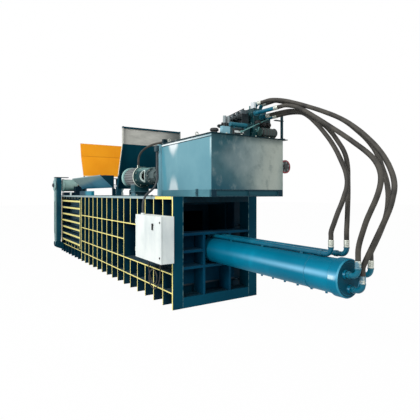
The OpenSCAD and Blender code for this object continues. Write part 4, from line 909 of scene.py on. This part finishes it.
ringed = conduit_black.mix(rings * 0.5 + 0.5, tone(16, 20, 24), tone(58, 66, 70))
conduit_black.set(Base_Color=ringed, Roughness=0.45 + conduit_black.noise(40.0) * 0.2,
                  Normal=conduit_black.bump(rings, 0.6, 0.004))
conduit_d, wire_d = 0.038, 0.018
cord_along("cabinet_conduit", [
    (-810, -717, 2525), (-810, -717, 2440), (-808, -717, 2330), (-805, -717, 2210),
    (-800, -717, 2080), (-793, -734, 1984), (-785, -783, 1900), (-777, -859, 1836),
    (-770, -936, 1773), (-764, -984, 1688), (-760, -1000, 1593), (-760, -1000, 1475)],
    conduit_d, conduit_black.material)
cord_along("cable_loop", [
    (-520, -1000, 720), (-520, -1000, 640), (-496, -1000, 530), (-436, -1001, 432),
    (-340, -1004, 376), (-240, -1008, 398), (-190, -1012, 480), (-226, -1016, 570),
    (-324, -1020, 600), (-420, -1024, 545), (-446, -1027, 440), (-386, -1028, 345),
    (-270, -1024, 310), (-164, -1014, 366), (-110, -1004, 480), (-100, -1000, 610),
    (-100, -1000, 720)], wire_d, hose_rubber.material)


# Bale chamber: hinged side panels with bars, squeezed by two arms and a cross cylinder.
# The outer edges of the bars are yellow, like the ribs.
def panel_stripes(paint, base):
    """The wall behind the bars has painted light: pale towards its hinge, shaded towards the exit.
    The bars have yellow edges.
    """
    x, y, _ = paint.axes()
    wall_y = 0.585
    wall = (abs(y) < wall_y) * 0.9
    # The wall's pale and dark parts are painted light and shade.
    wall_painted_light = paint.mix(paint.step(x, -6.5, -5.8), tone(52, 112, 138), tone(206, 228, 236))
    base = paint.mix(wall, base, paint.mix(paint.noise(1.6), wall_painted_light, tone(140, 184, 200)))
    return yellow_edges(paint, base)


panel_blue = enamel("panel_enamel_yellow_edges", tone(4, 66, 90), tone(40, 116, 138),
                    tone(1, 44, 64), wear=0.08, stripe=panel_stripes)
dress(panel_blue, "left_panel", "right_panel")


def arm_shade(paint, base):
    """Painted light and shade: the arm's outer half pale, darker inwards, with a dark cover plate
    and top.
    """
    _, y, z = paint.axes()
    cover_y, top_z = 1.107, 2.292
    lit_outer_half = paint.step(abs(y), 1.02, 1.1)
    pale = paint.mix(paint.noise(3.0), tone(118, 160, 162), tone(176, 202, 198))
    # Painted light over the outer half.
    base = paint.mix(lit_outer_half, base, pale)
    base = paint.mix(abs(y) > cover_y, base, tone(70, 72, 78))
    return paint.mix(z > top_z, base, tone(4, 46, 58))


arm_paint = enamel("arm_enamel", tone(10, 70, 88), tone(40, 104, 118), tone(4, 48, 66),
                   stripe=arm_shade)
dress(arm_paint, "left_arm", "right_arm")


def drum_shade(paint, base):
    """Painted shade: the underside is darker and greener."""
    z = paint.axes()[2]
    return paint.mix(paint.step(z, 2.03, 1.9) * 0.7, base, tone(60, 118, 116))


drum_paint = enamel("cross_cylinder_enamel", tone(146, 176, 170), tone(190, 210, 200),
                    tone(104, 138, 136), stripe=drum_shade)
dress(drum_paint, "cross_barrel")

# Press ram: a welded box behind a thick face, sliding on shoes inside the channel.
# It is sprayed in the same teal as the body.
dress(teal, "ram_box")

# Studio: a pale floor and backdrop under soft light, and the camera at standing height.
# The floor shows white to the camera and keeps the shadow.
floor_half = 60
mesh = bpy.data.meshes.new("studio_floor")
form = bmesh.new()
bmesh.ops.create_grid(form, x_segments=1, y_segments=1, size=floor_half)
form.to_mesh(mesh)
form.free()
floor = bpy.data.objects.new("studio_floor", mesh)
bpy.context.scene.collection.objects.link(floor)
floor_white = Finish("studio_white")
floor_white.set(Base_Color=(0.6, 0.6, 0.6, 1), Roughness=0.9)


def show_white(finish, white, share=1.0):
    """White for the camera and in metal and glass, and the finish itself for all other light."""
    rays = finish.node("LightPath", {}, {}).socket.node.outputs
    seen = Field(finish.tree, rays["Is Camera Ray"])
    for kind in ("Is Glossy Ray", "Is Transmission Ray"):
        seen = (seen + Field(finish.tree, rays[kind])).clamp()
    plain = finish.shader.outputs[0]
    goal = plain.links[0].to_socket
    blend = finish.node("MixShader", {}, {0: seen * share, 1: Field(finish.tree, plain), 2: white})
    finish.tree.links.new(blend.socket, goal)


shadow_left = 0.02
glow = floor_white.node("Emission", {}, {"Color": (1, 1, 1, 1), "Strength": 1.0})
show_white(floor_white, glow, 1 - shadow_left)
mesh.materials.append(floor_white.material)


class Room(Finish):
    """The light of the room all round, made with the same nodes."""

    def __init__(self, name):
        self.material = bpy.data.worlds.new(name)
        self.material.use_nodes = True
        self.tree = self.material.node_tree
        self.shader = self.tree.nodes["Background"]


room = Room("studio_world")
room.set(Color=(0.94, 0.97, 1.0, 1), Strength=0.6)
show_white(room, room.node("Background", {}, {"Color": (1, 1, 1, 1), "Strength": 1.0}))
bpy.context.scene.world = room.material


def softbox(name, place, target, size, power):
    """A rectangular lamp turned towards its target."""
    lamp = bpy.data.lights.new(name, "AREA")
    lamp.shape = "RECTANGLE"
    lamp.size, lamp.size_y = size
    lamp.energy = power
    held = bpy.data.objects.new(name, lamp)
    held.location = place
    held.rotation_euler = (Vector(target) - Vector(place)).to_track_quat("-Z", "Y").to_euler()
    bpy.context.scene.collection.objects.link(held)


softbox("key_softbox", (3.0, -9.0, 8.0), (0.5, 0, 1.2), (7, 5), 1100)
softbox("end_softbox", (11.0, -1.5, 6.0), (4.0, 0, 1.2), (5, 4), 260)

view = bpy.data.cameras.new("photo_view")
view.sensor_fit = "HORIZONTAL"
view.sensor_width = 36.0
frame_px, focal_px, drop_px = 420, 386, 16
view.lens = view.sensor_width * focal_px / frame_px
view.shift_y = -drop_px / frame_px
view.clip_end = 200
camera = bpy.data.objects.new("photo_view", view)
eye_x, eye_y, eye_height, heading_deg = 5.2753, -3.6039, 1.79, 56.8
camera.location = (eye_x + SHIFT, eye_y, eye_height)
camera.rotation_euler = (math.radians(90), 0, math.radians(heading_deg))
bpy.context.scene.collection.objects.link(camera)
bpy.context.scene.camera = camera
bpy.context.scene.view_settings.view_transform = "Standard"
